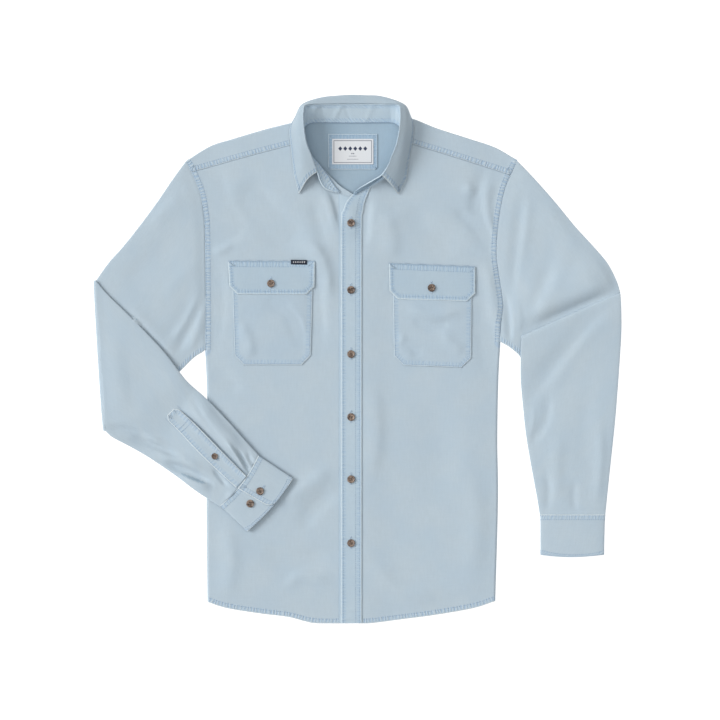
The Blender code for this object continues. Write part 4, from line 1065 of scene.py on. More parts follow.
# ---- pockets, flaps and labels ---------------------------------------------------------------
def blunt(piece):
    """Outline grid of a four-sided piece with its two lower corners cut off."""
    left, right, top, bottom, cut = piece
    width = right[0] - left[0]
    height = top[0] - bottom[0]
    v = levels(height, 2.8, edge=EDGE_GRID[:8])
    if cut:
        v = np.union1d(v, [cut / height])
    across = levels(width, 2.8, edge=EDGE_GRID[:8])
    rows = []
    for level in v:
        inset = cut * max(0.0, 1.0 - level * height / cut) if cut else 0.0
        u = inset / width + across * (1.0 - 2 * inset / width)
        x1 = left[1] + (left[0] - left[1]) * level
        x2 = right[1] + (right[0] - right[1]) * level
        low = bottom[0] + (bottom[1] - bottom[0]) * u
        high = top[0] + (top[1] - top[0]) * u
        rows.append(np.stack([x1 + (x2 - x1) * u, low + (high - low) * level, 0 * u], -1))
    return np.array(rows)


def outline(piece):
    """Corners of a piece, down its right-hand side, round the bottom and up again."""
    left, right, top, bottom, cut = piece
    if not cut:
        return [(left[0], top[0]), (left[1], bottom[0]), (right[1], bottom[1]), (right[0], top[1])]
    return [(left[0], top[0]), (left[1], bottom[0] + cut), (left[1] + cut, bottom[0]),
            (right[1] - cut, bottom[1]), (right[1], bottom[1] + cut), (right[0], top[1])]


def shift_in(corners, distance):
    """Corners moved in from a run of straight edges that has the inside on its left."""
    lines = []
    for a, b in zip(corners, corners[1:]):
        along = np.array(b, float) - np.array(a, float)
        along /= np.hypot(*along)
        lines.append((np.array(a, float) + np.array([-along[1], along[0]]) * distance, along))
    made = [lines[0][0]]
    for (p, d), (q, e) in zip(lines, lines[1:]):
        cross = d[0] * e[1] - d[1] * e[0]
        if abs(cross) < 0.02:
            made.append(q)
            continue
        t = ((q - p)[0] * e[1] - (q - p)[1] * e[0]) / cross
        made.append(p + d * t)
    last, along = lines[-1]
    end = np.array(corners[-1], float)
    made.append(last + along * ((end - last) @ along))
    return [tuple(p) for p in made]


def sunk(under, line):
    """Heights of a flap, which comes down to the front along the line it is sewn on."""
    def at(x, y):
        down = 1.0 - smooth(nearest(x, y, line)[0] / 16.0)
        return under(x, y) + 2 * LAYER - 0.9 * down
    return at


def make_pockets(denim, flap_denim, black):
    for side, under in (("right", body_under), ("left", left_front_under)):
        piece = POCKETS[side + "_pocket"]
        seams = Seams(turned=[densely(outline(piece))], turned_rows=(2.0,))
        laid(side + "_pocket", blunt(piece), lambda x, y, f=under: f(x, y) + LAYER, seams,
             denim, puff=0.5, extra=lambda x, y, n=side: folds(n + "_pocket", x, y))
        piece = FLAPS[side + "_flap"]
        edge = outline(piece)
        seams = Seams(ditches=[densely([edge[0], edge[-1]])], turned=[densely(edge)],
                      ditch_rows=(1.8, 8.6), turned_rows=(4.6,))
        laid(side + "_flap", blunt(piece), sunk(under, densely([edge[0], edge[-1]])), seams,
             flap_denim, puff=0.3)
    laid("flap_tab", blunt(FLAP_TAB), lambda x, y: body_under(x, y) + 2 * LAYER + 0.8, Seams(),
         black, thick=0.6)


def make_label(denim, white):
    rim = [(NECK_PATCH[0][0], NECK_PATCH[2][0]), (NECK_PATCH[0][0], NECK_PATCH[3][0]),
           (NECK_PATCH[1][0], NECK_PATCH[3][0]), (NECK_PATCH[1][0], NECK_PATCH[2][0]),
           (NECK_PATCH[0][0], NECK_PATCH[2][0])]
    seams = Seams(turned=[densely(rim)], turned_rows=(2.0,))
    laid("neck_patch", blunt(NECK_PATCH), lambda x, y: LAYER + 0 * x, seams, denim)
    laid("neck_label", blunt(NECK_LABEL), lambda x, y: 2 * LAYER + 0 * x, Seams(), white,
         thick=0.6)


# ---- buttons ---------------------------------------------------------------------------------
SHIRT_BUTTON = 5.75
SMALL_BUTTON = 4.65
BUTTON_THICK = 2.4
FRONT_BUTTON_X = -9.5
FRONT_BUTTON_Y = (200.5, 101.5, 6.5, -86.5, -178.5, -273.0)
FLAP_BUTTONS = {"right_flap": (-128.0, 111.0), "left_flap": (109.5, 104.5)}
CUFF_BUTTONS = {"right_cuff_button_1": (-144.0, -196.0), "right_cuff_button_2": (-158.6, -214.4)}
LEFT_CUFF_BUTTONS = {"left_cuff_button_1": (330.0, -262.0), "left_cuff_button_2": (306.0, -262.0)}
RIGHT_GAUNTLET_BUTTON = (-211.0, -144.5)
LEFT_GAUNTLET_BUTTON = (307.5, -155.0)
COLLAR_BUTTON_AT = (2, 0.66)
BUTTON_TURNS = 48


def make_button(name, centre, normal, radius, horn, turn):
    """A turned button: a rounded rim, a dished middle and four holes."""
    normal = Vector(normal).normalized()
    side = normal.orthogonal().normalized()
    other = normal.cross(side)
    part = radius / SHIRT_BUTTON
    under = [(0.0, 0.0), (0.5, 0.0), (0.86, 0.1), (0.95, 0.45), (1.0, 1.0)]
    over = [(1.0, 1.35), (0.985, 1.8), (0.95, 2.15), (0.9, 2.36), (0.84, 2.4), (0.78, 2.34),
            (0.72, 2.16), (0.67, 1.98), (0.62, 1.88), (0.56, 1.84), (0.5, 1.82), (0.44, 1.8),
            (0.38, 1.79), (0.32, 1.78), (0.26, 1.78), (0.2, 1.78), (0.13, 1.78), (0.06, 1.78)]
    angles = 2 * math.pi * np.arange(BUTTON_TURNS) / BUTTON_TURNS
    rings = []
    for share, level in under[1:] + over:
        x = radius * share * np.cos(angles)
        y = radius * share * np.sin(angles)
        z = np.full(BUTTON_TURNS, level)
        if share < 0.6 and level > 1.0:
            reach = 1.3 * part
            for hx in (-reach, reach):
                for hy in (-reach, reach):
                    away = np.hypot(x - hx, y - hy) / (0.86 * part)
                    z = z - 1.5 * np.clip(1.0 - away ** 4, 0.0, 1.0)
        rings.append(np.stack([x, y, z], -1))
    points = np.concatenate(rings + [np.array([[0, 0, 1.78], [0, 0, 0]])])
    spin = np.array([[math.cos(turn), math.sin(turn), 0], [-math.sin(turn), math.cos(turn), 0],
                     [0, 0, 1]])
    own_axes = np.array([side, other, normal])
    points = (np.array(centre) + points @ spin @ own_axes) * MM
    faces = []
    n = BUTTON_TURNS
    for ring_number in range(len(rings) - 1):
        for k in range(n):
            a, b = ring_number * n + k, ring_number * n + (k + 1) % n
            faces.append((a, b, b + n, a + n))
    top, foot = len(rings) * n, len(rings) * n + 1
    last = (len(rings) - 1) * n
    for k in range(n):
        faces.append((last + k, last + (k + 1) % n, top))
        faces.append(((k + 1) % n, k, foot))
    mesh = bpy.data.meshes.new(name)
    mesh.from_pydata(points.tolist(), [], faces)
    mesh.materials.append(horn)
    mesh.shade_smooth()
    thing = bpy.data.objects.new(name + "_turned", mesh)
    bpy.context.scene.collection.objects.link(thing)
    BUTTONS[name] = thing
    spokes = spin @ own_axes
    for sign in (1.0, -1.0):
        along = (spokes[0] + sign * spokes[1]) / math.sqrt(2.0)
        STITCHES["button_threads"].append((np.array(centre) + np.array(normal) * 2.0,
                                           along, np.array(normal), part))


BUTTONS = {}
STITCHES = {name: [] for name in ("body_stitches", "sleeve_stitches", "collar_stitches",
                                  "buttonholes", "button_threads")}


# ---- topstitching ----------------------------------------------------------------------------
PITCH = 3.2
HALF_STITCH = 0.6
STITCH_RISE = 0.05              # how far a stitch's middle stands off the cloth
DROP_FROM = Vector((0.0, 0.0, 0.08))
DOWN = Vector((0.0, 0.0, -1.0))
TREES = {}


def drop_point(x, y, names):
    """Highest point of the named pieces under a place, and the direction out of the cloth."""
    best = None
    for name in names:
        if name not in TREES:
            TREES[name] = BVHTree.FromObject(SHEETS[name]["object"],
                                             bpy.context.evaluated_depsgraph_get())
        hit = TREES[name].ray_cast(Vector((x * MM, y * MM, 0.0)) + DROP_FROM, DOWN)
        if hit[0] is not None and (best is None or hit[0].z > best[0].z):
            best = hit
    if best is None:
        return None
    return np.array(best[0]) / MM, np.array(best[1])


def spaced(points, pitch, clear, axes):
    """Rows at an even pitch along a line, and its steps there; axes is how many are places."""
    steps = np.linalg.norm(np.diff(points[:, :axes], axis=0), axis=1)
    run = np.concatenate([[0.0], np.cumsum(steps)])
    count = max(1, int((run[-1] - 2 * clear) / pitch))
    places = clear + (run[-1] - 2 * clear) * (np.arange(count) + 0.5) / count

    def at(where):
        return np.stack([np.interp(where, run, points[:, k]) for k in range(points.shape[1])], -1)
    return at(places), at(places + HALF_STITCH) - at(places - HALF_STITCH)


def sew(group, line, names, pitch=PITCH, clear=0.0):
    """Stitches along a line seen from above, dropped onto the cloth."""
    points, along = spaced(np.asarray(line, float)[:, :2], pitch, clear, 2)
    along = along / np.maximum(np.linalg.norm(along, axis=1, keepdims=True), 1e-9)
    for place, way in zip(points, along):
        found = drop_point(place[0], place[1], names)
        if found is None or found[1][2] < 0.2:
            continue
        here, out = found
        way = np.array([way[0], way[1], 0.0])
        way = way - out * (way @ out)
        STITCHES[group].append((here + out * STITCH_RISE, way / np.linalg.norm(way), out, 1.0))


def sew_formed(group, name, side, distance, pitch=PITCH, clear=1.5, flip=False):
    """Stitches at a distance from one side of a formed piece, on its outer face."""
    grid = SHEETS[name]["high"]
    out = normals_of(grid) * (-1.0 if flip else 1.0)
    across, down = runs_of(grid)
    if side in ("first", "last"):
        grid, out = grid.swapaxes(0, 1), out.swapaxes(0, 1)
        across = down.swapaxes(0, 1)
    points, outs = [], []
    for line, face, run in zip(grid, out, across):
        where = distance if side in ("start", "first") else run[-1] - distance
        if not 0 <= where <= run[-1]:
            continue
        points.append([np.interp(where, run, line[:, k]) for k in range(3)])
        outs.append([np.interp(where, run, face[:, k]) for k in range(3)])
    both = np.concatenate([points, outs], axis=1)
    here, along = spaced(both, pitch, clear, 3)
    for p, way in zip(here, along[:, :3]):
        if np.linalg.norm(way) < 1e-6:
            continue
        face = p[3:] / np.linalg.norm(p[3:])
        STITCHES[group].append((p[:3] + face * STITCH_RISE, way / np.linalg.norm(way), face, 1.0))


def beside(line, distance):
    """A curve moved to its left by a distance."""
    line = np.asarray(line, float)[:, :2]
    along = np.gradient(line, axis=0)
    along /= np.maximum(np.hypot(along[:, 0], along[:, 1])[:, None], 1e-9)
    return line + np.stack([-along[:, 1], along[:, 0]], -1) * distance


def buttonhole(x, y, turn, names, half=8.6, wide=1.15):
    """Closely set stitches round an oval, square to its edge."""
    count = 46
    for k in range(count):
        angle = 2 * math.pi * k / count
        px = half * math.copysign(abs(math.cos(angle)) ** 0.55, math.cos(angle))
        py = wide * math.copysign(abs(math.sin(angle)) ** 0.7, math.sin(angle))
        way = np.array([math.cos(angle) * 0.35, math.sin(angle), 0.0])
        way = np.array([way[0] * math.cos(turn) - way[1] * math.sin(turn),
                        way[0] * math.sin(turn) + way[1] * math.cos(turn), 0.0])
        found = drop_point(x + px * math.cos(turn) - py * math.sin(turn),
                           y + px * math.sin(turn) + py * math.cos(turn), names)
        if found is not None:
            STITCHES["buttonholes"].append((found[0] + found[1] * 0.12,
                                            way / np.linalg.norm(way), found[1], 1.0))


class Net:
    """A node tree with short ways to add and join its nodes."""

    def __init__(self, tree):
        self.tree = tree

    def add(self, kind, inputs=(), **settings):
        node = self.tree.nodes.new(kind)
        for key, value in settings.items():
            setattr(node, key, value)
        for key, value in dict(inputs).items():
            if isinstance(value, bpy.types.NodeSocket):
                self.tree.links.new(value, node.inputs[key])
            else:
                node.inputs[key].default_value = value
        return node

    def math(self, operation, a, b=0.0, c=0.0):
        node = self.add("ShaderNodeMath", {0: a, 1: b, 2: c}, operation=operation)
        return node.outputs[0]

    def window(self, value, start, stop, low=0.0, high=1.0):
        """low up to start and high from stop on, smooth between."""
        node = self.add("ShaderNodeMapRange", {"Value": value, "From Min": start,
                        "From Max": stop, "To Min": low, "To Max": high},
                        interpolation_type="SMOOTHSTEP")
        return node.outputs["Result"]

    def noise(self, place, scale, detail=1.0, rough=0.5):
        node = self.add("ShaderNodeTexNoise", {"Vector": place, "Scale": scale,
                        "Detail": detail, "Roughness": rough})
        return node.outputs["Fac"]

    def mix(self, share, a, b, blend="MIX"):
        node = self.add("ShaderNodeMix", {0: share, 6: a, 7: b}, data_type="RGBA",
                        blend_type=blend)
        return node.outputs[2]

    def named(self, name, output="Fac"):
        return self.add("ShaderNodeAttribute", attribute_name=name).outputs[output]


def stitch_tree():
    """Repeats one rounded stitch on every point, turned along its seam."""
    tree = bpy.data.node_groups.new("topstitches", "GeometryNodeTree")
    face = tree.interface
    face.new_socket("Geometry", in_out="INPUT", socket_type="NodeSocketGeometry")
    for label, kind in (("Stitch length", "Float"), ("Stitch thickness", "Float"),
                        ("Unevenness", "Float"), ("Seed", "Int"), ("Thread", "Material")):
        face.new_socket(label, in_out="INPUT", socket_type="NodeSocket" + kind)
    face.new_socket("Geometry", in_out="OUTPUT", socket_type="NodeSocketGeometry")
    net = Net(tree)
    start = net.add("NodeGroupInput").outputs
    along, out, size = [
        net.add("GeometryNodeInputNamedAttribute", {"Name": name},
                data_type=kind).outputs["Attribute"]
        for name, kind in (("along", "FLOAT_VECTOR"), ("out", "FLOAT_VECTOR"), ("size", "FLOAT"))]
    turn = net.add("FunctionNodeAlignRotationToVector", {"Vector": along}, axis="X")
    turn = net.add("FunctionNodeAlignRotationToVector",
                   {"Rotation": turn.outputs["Rotation"], "Vector": out}, axis="Z", pivot_axis="X")
    bead = net.add("GeometryNodeMeshUVSphere", {"Segments": 6, "Rings": 4, "Radius": 0.5})
    low = net.math("SUBTRACT", 1.0, start["Unevenness"])
    high = net.math("ADD", 1.0, start["Unevenness"])
    chance = net.add("FunctionNodeRandomValue", {2: low, 3: high, "Seed": start["Seed"]},
                     data_type="FLOAT")
    grow = net.math("MULTIPLY", chance.outputs[1], size)
    scale = net.add("ShaderNodeCombineXYZ", {
        "X": net.math("MULTIPLY", start["Stitch length"], grow),
        "Y": start["Stitch thickness"], "Z": start["Stitch thickness"]})
    place = net.add("GeometryNodeInstanceOnPoints", {
        "Points": start["Geometry"], "Instance": bead.outputs["Mesh"],
        "Rotation": turn.outputs["Rotation"], "Scale": scale.outputs["Vector"]})
    real = net.add("GeometryNodeRealizeInstances", {"Geometry": place.outputs["Instances"]})
    paint = net.add("GeometryNodeSetMaterial", {"Geometry": real.outputs["Geometry"],
                                                "Material": start["Thread"]})
    net.add("NodeGroupOutput", {"Geometry": paint.outputs["Geometry"]})
    return tree


def make_stitches(tree, name, length, thick, seed, thread):
    """A plain mesh of all the stitches of one group."""
    places = STITCHES[name]
    mesh = bpy.data.meshes.new(name + "_places")
    mesh.from_pydata([tuple(p[0] * MM) for p in places], [], [])
    for label, column in (("along", 1), ("out", 2)):
        data = np.array([p[column] for p in places], np.float32).ravel()
        mesh.attributes.new(label, "FLOAT_VECTOR", "POINT").data.foreach_set("vector", data)
    sizes = np.array([p[3] for p in places], np.float32)
    mesh.attributes.new("size", "FLOAT", "POINT").data.foreach_set("value", sizes)
    thing = bpy.data.objects.new(name, mesh)
    bpy.context.scene.collection.objects.link(thing)
    modifier = thing.modifiers.new("stitches", "NODES")
    modifier.node_group = tree
    wanted = {"Stitch length": length * MM, "Stitch thickness": thick * MM, "Unevenness": 0.12,
              "Seed": seed, "Thread": thread}
    for item in tree.interface.items_tree:
        if item.item_type == "SOCKET" and item.in_out == "INPUT" and item.name in wanted:
            modifier[item.identifier] = wanted[item.name]
    thing.update_tag()
    depsgraph = bpy.context.evaluated_depsgraph_get()
    depsgraph.update()
    made = bpy.data.meshes.new_from_object(thing.evaluated_get(depsgraph))
    thing.modifiers.remove(modifier)
    thing.data = made
    made.shade_smooth()
    bpy.data.meshes.remove(mesh)
    return thing


# ---- finishes --------------------------------------------------------------------------------
def new_group(name, takes, gives):
    tree = bpy.data.node_groups.new(name, "ShaderNodeTree")
    for label, kind in takes:
        tree.interface.new_socket(label, in_out="INPUT", socket_type="NodeSocket" + kind)
    for label, kind in gives:
        tree.interface.new_socket(label, in_out="OUTPUT", socket_type="NodeSocket" + kind)
    net = Net(tree)
    return tree, net, net.add("NodeGroupInput"), net.add("NodeGroupOutput")


def weave_group():
    """Twill ribs, slubs along the warp and the faint clouding of a wash."""
    tree, net, start, end = new_group("washed twill", [("Place", "Vector")],
                                      [("Ribs", "Float"), ("Slub", "Float"), ("Cloud", "Float")])
    split = net.add("ShaderNodeSeparateXYZ", {0: start.outputs["Place"]})
    slant = net.math("ADD", split.outputs["X"], net.math("MULTIPLY", split.outputs["Y"], 0.8))
    wave = net.math("SINE", net.math("MULTIPLY", slant, 2 * math.pi / 0.0013))
    stretched = net.add("ShaderNodeVectorMath", {0: start.outputs["Place"],
                        1: (420.0, 60.0, 1.0)}, operation="MULTIPLY").outputs[0]
    slub = net.noise(stretched, 1.0, 2.0, 0.6)
    cross = net.add("ShaderNodeVectorMath", {0: start.outputs["Place"],
                    1: (60.0, 420.0, 1.0)}, operation="MULTIPLY").outputs[0]
    fine = net.noise(cross, 1.0, 1.0)
    slub = net.math("ADD", net.math("MULTIPLY", slub, 0.65), net.math("MULTIPLY", fine, 0.35))
    cloud = net.noise(start.outputs["Place"], 20.0, 4.0, 0.55)
    net.tree.links.new(wave, end.inputs["Ribs"])
    net.tree.links.new(slub, end.inputs["Slub"])
    net.tree.links.new(cloud, end.inputs["Cloud"])
    return tree


def seam_group():
    """Wear along seams, with painted shade and highlight: dark in the ditch, painted shade along plain
    lines, pale on turned edges (worn, and partly a painted highlight), puckered between.
    """
    takes = [("Ditch", "Float"), ("Turned", "Float"), ("Run", "Float"), ("Shade line", "Float")]
    gives = [("Seam dark and shade", "Float"), ("Pale", "Float"), ("Pucker", "Float"), ("Height", "Float"),
             ("Band", "Float")]
    tree, net, start, end = new_group("washed seam", takes, gives)
    ditch, turned = start.outputs["Ditch"], start.outputs["Turned"]
    near = net.math("MINIMUM", ditch, turned)
    place = net.add("ShaderNodeCombineXYZ", {
        "X": net.math("MULTIPLY", start.outputs["Run"], 0.21),
        "Y": net.math("MULTIPLY", near, 0.10), "Z": 0.0}).outputs[0]
    drift = net.noise(place, 0.35, 1.0)
    turns = net.math("MULTIPLY", start.outputs["Run"], 2 * math.pi / 4.9)
    ripple = net.math("SINE", net.math("ADD", turns, net.math("MULTIPLY", drift, 13.0)))
    strength = net.window(net.noise(place, 0.8, 1.0), 0.35, 0.65, 0.6, 1.15)
    ripple = net.math("MULTIPLY", ripple, strength)
    fine = net.noise(place, 2.3, 1.0)
    ripple = net.math("ADD", ripple, net.math("MULTIPLY", net.math("SUBTRACT", fine, 0.5), 1.2))
    band = net.math("MULTIPLY", net.window(ditch, 0.5, 1.8), net.window(ditch, 10.0, 7.2))
    hemmed = net.math("MULTIPLY", net.window(turned, 0.7, 1.8), net.window(turned, 9.0, 6.0))
    band = net.math("MAXIMUM", band, hemmed)
    pucker = net.math("MULTIPLY", ripple, band)
    # dark of the ditch, joined with painted shade along plain lines
    seam_dark_and_shade = net.window(ditch, 1.7, 0.2)
    seam_dark_and_shade = net.math("MAXIMUM", seam_dark_and_shade, net.window(start.outputs["Shade line"], 1.7, 0.3, 0.0, 0.55))
    # pale turned edges: worn paler, and partly a painted highlight
    pale = net.math("MULTIPLY", net.window(turned, 2.1, 0.7),
                    net.window(ripple, -1.5, 0.6, 0.8, 1.0))
    net.tree.links.new(seam_dark_and_shade, end.inputs["Seam dark and shade"])
    net.tree.links.new(pale, end.inputs["Pale"])
    net.tree.links.new(pucker, end.inputs["Pucker"])
    net.tree.links.new(band, end.inputs["Band"])
    net.tree.links.new(net.math("MULTIPLY", pucker, 0.00030), end.inputs["Height"])
    return tree


def toned(colour, gains):
    """Colour times one gain, or one for each of its parts."""
    if isinstance(gains, float):
        gains = (gains,) * 3
    return tuple(min(1.0, c * k) for c, k in zip(colour, gains))


def full(colour):
    return tuple(colour) + (1.0,)


def new_material(name):
    made = bpy.data.materials.new(name)
    made.use_nodes = True
    net = Net(made.node_tree)
    shader = made.node_tree.nodes["Principled BSDF"]
    shader.inputs["Specular IOR Level"].default_value = 0.25
    return made, net, shader


# tint of the inner faces: the wrong side of the cloth, made darker as painted shade to the tone of the
# inside of the neck
INNER_FACE_SHADE = (0.74, 0.81, 0.86)     # the wrong side of the cloth against its face


def make_denim(name, colour, weave, seam, pucker, rim):
    """Pale washed denim: matt, even, darker in its ditches, darker still as painted shade along plain
    lines, and paler on its edges, partly as a painted highlight.
    """
    made, net, shader = new_material(name)
    place = net.named("cloth", "Vector")
    cloth = net.add("ShaderNodeGroup", node_tree=weave)
    net.tree.links.new(place, cloth.inputs["Place"])
    wear = net.add("ShaderNodeGroup", node_tree=seam)
    for label, attribute in (("Ditch", "ditch"), ("Turned", "turned"), ("Run", "run"),
                             ("Shade line", "plain")):
        net.tree.links.new(net.named(attribute), wear.inputs[label])
    dark = full(toned(colour, (0.64, 0.71, 0.80)))
    pale = full(toned(colour, (1.38, 1.29, 1.2)))
    deep = full(toned(colour, (0.86, 0.93, 1.0)))
    blue = full(toned(colour, (0.74, 0.84, 0.97)))
    base = net.mix(net.window(cloth.outputs["Slub"], 0.3, 0.7, 0.0, 1.0),
                   full(toned(colour, 0.976)), full(toned(colour, 1.024)))
    base = net.mix(net.window(cloth.outputs["Cloud"], 0.3, 0.7, 0.0, 0.36), base, deep)
    base = net.mix(net.math("MULTIPLY", wear.outputs["Band"], 0.55), base, deep)
    trough = net.window(wear.outputs["Pucker"], 0.0, -1.1, 0.0, pucker)
    base = net.mix(trough, base, blue)
    crest = net.window(wear.outputs["Pucker"], 0.0, 1.2, 0.0, 0.36 * pucker)
    base = net.mix(crest, base, pale)
    # pale rims on turned edges, partly wear and partly painted highlight
    base = net.mix(net.math("MULTIPLY", wear.outputs["Pale"], rim), base, pale)
    # darker in the ditch, and painted shade along plain lines
    base = net.mix(wear.outputs["Seam dark and shade"], base, dark)
    # inner faces take the darker tint, partly painted shade
    base = net.mix(net.named("inner_side"), base, net.mix(1.0, base, full(INNER_FACE_SHADE), "MULTIPLY"))
    net.tree.links.new(base, shader.inputs["Base Color"])
    height = net.math("ADD", net.math("MULTIPLY", wear.outputs["Height"], pucker),
                      net.math("MULTIPLY", cloth.outputs["Ribs"], 0.00002))
    height = net.math("ADD", height, net.math("MULTIPLY", cloth.outputs["Slub"], 0.00003))
    bump = net.add("ShaderNodeBump", {"Height": height, "Strength": 0.8, "Distance": 1.0})
    net.tree.links.new(bump.outputs["Normal"], shader.inputs["Normal"])
    shader.inputs["Roughness"].default_value = 0.93
    shader.inputs["Sheen Weight"].default_value = 0.12
    shader.inputs["Sheen Roughness"].default_value = 0.6
    return made


def make_thread(name, colour):
    made, net, shader = new_material(name)
    place = net.add("ShaderNodeTexCoord").outputs["Object"]
    twist = net.noise(place, 2600.0, 1.0)
    base = net.mix(twist, full(toned(colour, 0.85)), full(toned(colour, 1.15)))
    net.tree.links.new(base, shader.inputs["Base Color"])
    shader.inputs["Roughness"].default_value = 0.8
    return made


def make_horn(name):
    made, net, shader = new_material(name)
    place = net.add("ShaderNodeTexCoord").outputs["Object"]
    blot = net.window(net.noise(place, 260.0, 3.0, 0.6), 0.38, 0.62)
    base = net.mix(blot, (0.055, 0.034, 0.026, 1.0), (0.27, 0.20, 0.155, 1.0))
    streak = net.window(net.noise(place, 720.0, 2.0, 0.5), 0.45, 0.7, 0.0, 0.5)
    base = net.mix(streak, base, (0.22, 0.15, 0.115, 1.0))
    net.tree.links.new(base, shader.inputs["Base Color"])
    shader.inputs["Roughness"].default_value = 0.38
    shader.inputs["Specular IOR Level"].default_value = 0.5
    return made


# level, pitch, reach, width and height of a row of lozenges (mm), and its strength
LABEL_ROWS = (((4.4, 7.4, 22.1, 3.0, 3.4), 1.0), ((-3.0, 2.6, 2.5, 1.1, 1.1), 1.0),
              ((-6.8, 1.9, 5.2, 0.8, 0.7), 0.8), ((-11.4, 1.7, 8.0, 0.7, 0.7), 0.8))


def make_label_finish(name, centre, half, ground, mark, plain_tab=False):
    """Woven label: a thin frame line, a row of lozenges and rows of dots, no lettering."""
    made, net, shader = new_material(name)
    split = net.add("ShaderNodeSeparateXYZ", {0: net.named("cloth", "Vector")})
    x = net.math("MULTIPLY", net.math("SUBTRACT", split.outputs["X"], centre[0] * MM), 1000.0)
    y = net.math("MULTIPLY", net.math("SUBTRACT", split.outputs["Y"], centre[1] * MM), 1000.0)
    ax, ay = net.math("ABSOLUTE", x), net.math("ABSOLUTE", y)

    def lozenges(level, pitch, reach, wide, tall):
        cell = net.math("PINGPONG", net.math("ADD", x, pitch * 20.5), pitch / 2)
        size = net.math("ADD", net.math("DIVIDE", cell, wide), net.math("DIVIDE", net.math(
            "ABSOLUTE", net.math("SUBTRACT", y, level)), tall))
        inside = net.math("LESS_THAN", ax, reach)
        return net.math("MULTIPLY", net.window(size, 1.12, 0.88), inside)

    if plain_tab:
        marks = lozenges(0.0, 3.2, 9.4, 0.95, 1.5)
    else:
        gap_x = net.math("SUBTRACT", half[0] - 2.6, ax)
        gap_y = net.math("SUBTRACT", half[1] - 2.6, ay)
        rim = net.math("ABSOLUTE", net.math("MINIMUM", gap_x, gap_y))
        marks = net.math("MULTIPLY", net.window(rim, 0.75, 0.25), 0.75)
        for line, strength in LABEL_ROWS:
            marks = net.math("MAXIMUM", marks, net.math("MULTIPLY", lozenges(*line), strength))
    place = net.add("ShaderNodeVectorMath", {0: net.named("cloth", "Vector"),
                    1: (2600.0, 900.0, 1.0)}, operation="MULTIPLY").outputs[0]
    woven = net.noise(place, 1.0, 1.0)
    base = net.mix(woven, full(toned(ground, 0.95)), full(toned(ground, 1.05)))
    base = net.mix(marks, base, full(mark))
    net.tree.links.new(base, shader.inputs["Base Color"])
    bump = net.add("ShaderNodeBump", {"Height": net.math("MULTIPLY", woven, 0.00006),
                                      "Strength": 0.5, "Distance": 1.0})
    net.tree.links.new(bump.outputs["Normal"], shader.inputs["Normal"])
    shader.inputs["Roughness"].default_value = 0.75
    return made


def make_floor_finish():
    made, net, shader = new_material("white floor")
    place = net.add("ShaderNodeTexCoord").outputs["Object"]
    tone = net.mix(net.noise(place, 3.0), (0.32, 0.32, 0.32, 1.0), (0.34, 0.34, 0.34, 1.0))
    net.tree.links.new(tone, shader.inputs["Base Color"])
    shader.inputs["Roughness"].default_value = 1.0
    shader.inputs["Specular IOR Level"].default_value = 0.0
    shader.inputs["Emission Color"].default_value = (1.0, 1.0, 1.0, 1.0)
    shader.inputs["Emission Strength"].default_value = 0.88
    return made


# ---- putting it together ---------------------------------------------------------------------
weave, seam = weave_group(), seam_group()
PALE_DENIM = (0.430, 0.513, 0.574)
# name, tint of the body's colour, strength of the pucker, paleness of the turned edges (worn, and
# partly a painted highlight)
DENIMS = {
    "body": ("washed denim", (1.0, 1.0, 1.0), 1.0, 0.4),
    "band": ("washed denim, flaps", (0.93, 0.965, 0.99), 0.62, 0.9),
    "placket": ("washed denim, placket", (0.99, 1.015, 1.03), 0.5, 0.6),
    # the neck's darker tint is painted shade, for the patch that lies down in the neck opening
    "inside": ("washed denim, neck, painted shade", (0.80, 0.87, 0.93), 0.5, 0.9),
    # the collar's tint below 1 is painted shade: the same denim made darker so that its sloped leaves
    # read as shaded
    "collar": ("washed denim, collar", (0.885, 0.895, 0.90), 1.0, 1.0),
    # the collar stand's tint above 1 is painted light: the same denim made lighter, as its face turns
    # down away from the lamps
    "stand": ("washed denim, collar stand, painted light", (1.17, 1.18, 1.18), 0.9, 0.25),
    "cuff": ("washed denim, cuffs", (1.0, 1.0, 1.0), 0.6, 0.9),
    "pocket": ("washed denim, pockets", (0.97, 0.985, 1.0), 0.45, 0.35)}
denim = {key: make_denim(label, toned(PALE_DENIM, tint), weave, seam, pucker, rim)
         for key, (label, tint, pucker, rim) in DENIMS.items()}
horn = make_horn("horn button")
thread = make_thread("pale blue thread", (0.25, 0.35, 0.475))
hole_thread = make_thread("paler thread", (0.40, 0.50, 0.60))
dark_thread = make_thread("brown thread", (0.16, 0.125, 0.105))
label_mid = ((NECK_LABEL[0][0] + NECK_LABEL[1][0]) / 2, (NECK_LABEL[2][0] + NECK_LABEL[3][0]) / 2)
tab_mid = ((FLAP_TAB[0][0] + FLAP_TAB[1][0]) / 2, (FLAP_TAB[2][0] + FLAP_TAB[3][0]) / 2)
white_label = make_label_finish("white woven label", label_mid, (30.5, 18.75),
                                (0.66, 0.675, 0.695), (0.035, 0.045, 0.085))
black_tab = make_label_finish("black woven tab", tab_mid, (12.0, 3.4), (0.014, 0.018, 0.032),
                              (0.55, 0.56, 0.58), plain_tab=True)

make_back(denim["body"])
make_fronts(denim["body"])
make_yoke(denim["body"])
make_placket(denim["placket"])
make_collar(denim["collar"], denim["stand"])
make_right_sleeve(denim["body"])
make_left_sleeve(denim["body"])
make_cuff("right", right_forearm_under, 1.0, denim["cuff"])
make_cuff("left", lambda x, y: LEFT_CUFF_RAISED_BY + 0 * x, -1.0, denim["cuff"])
make_gauntlets(denim["cuff"])
make_pockets(denim["pocket"], denim["band"], black_tab)
make_label(denim["inside"], white_label)

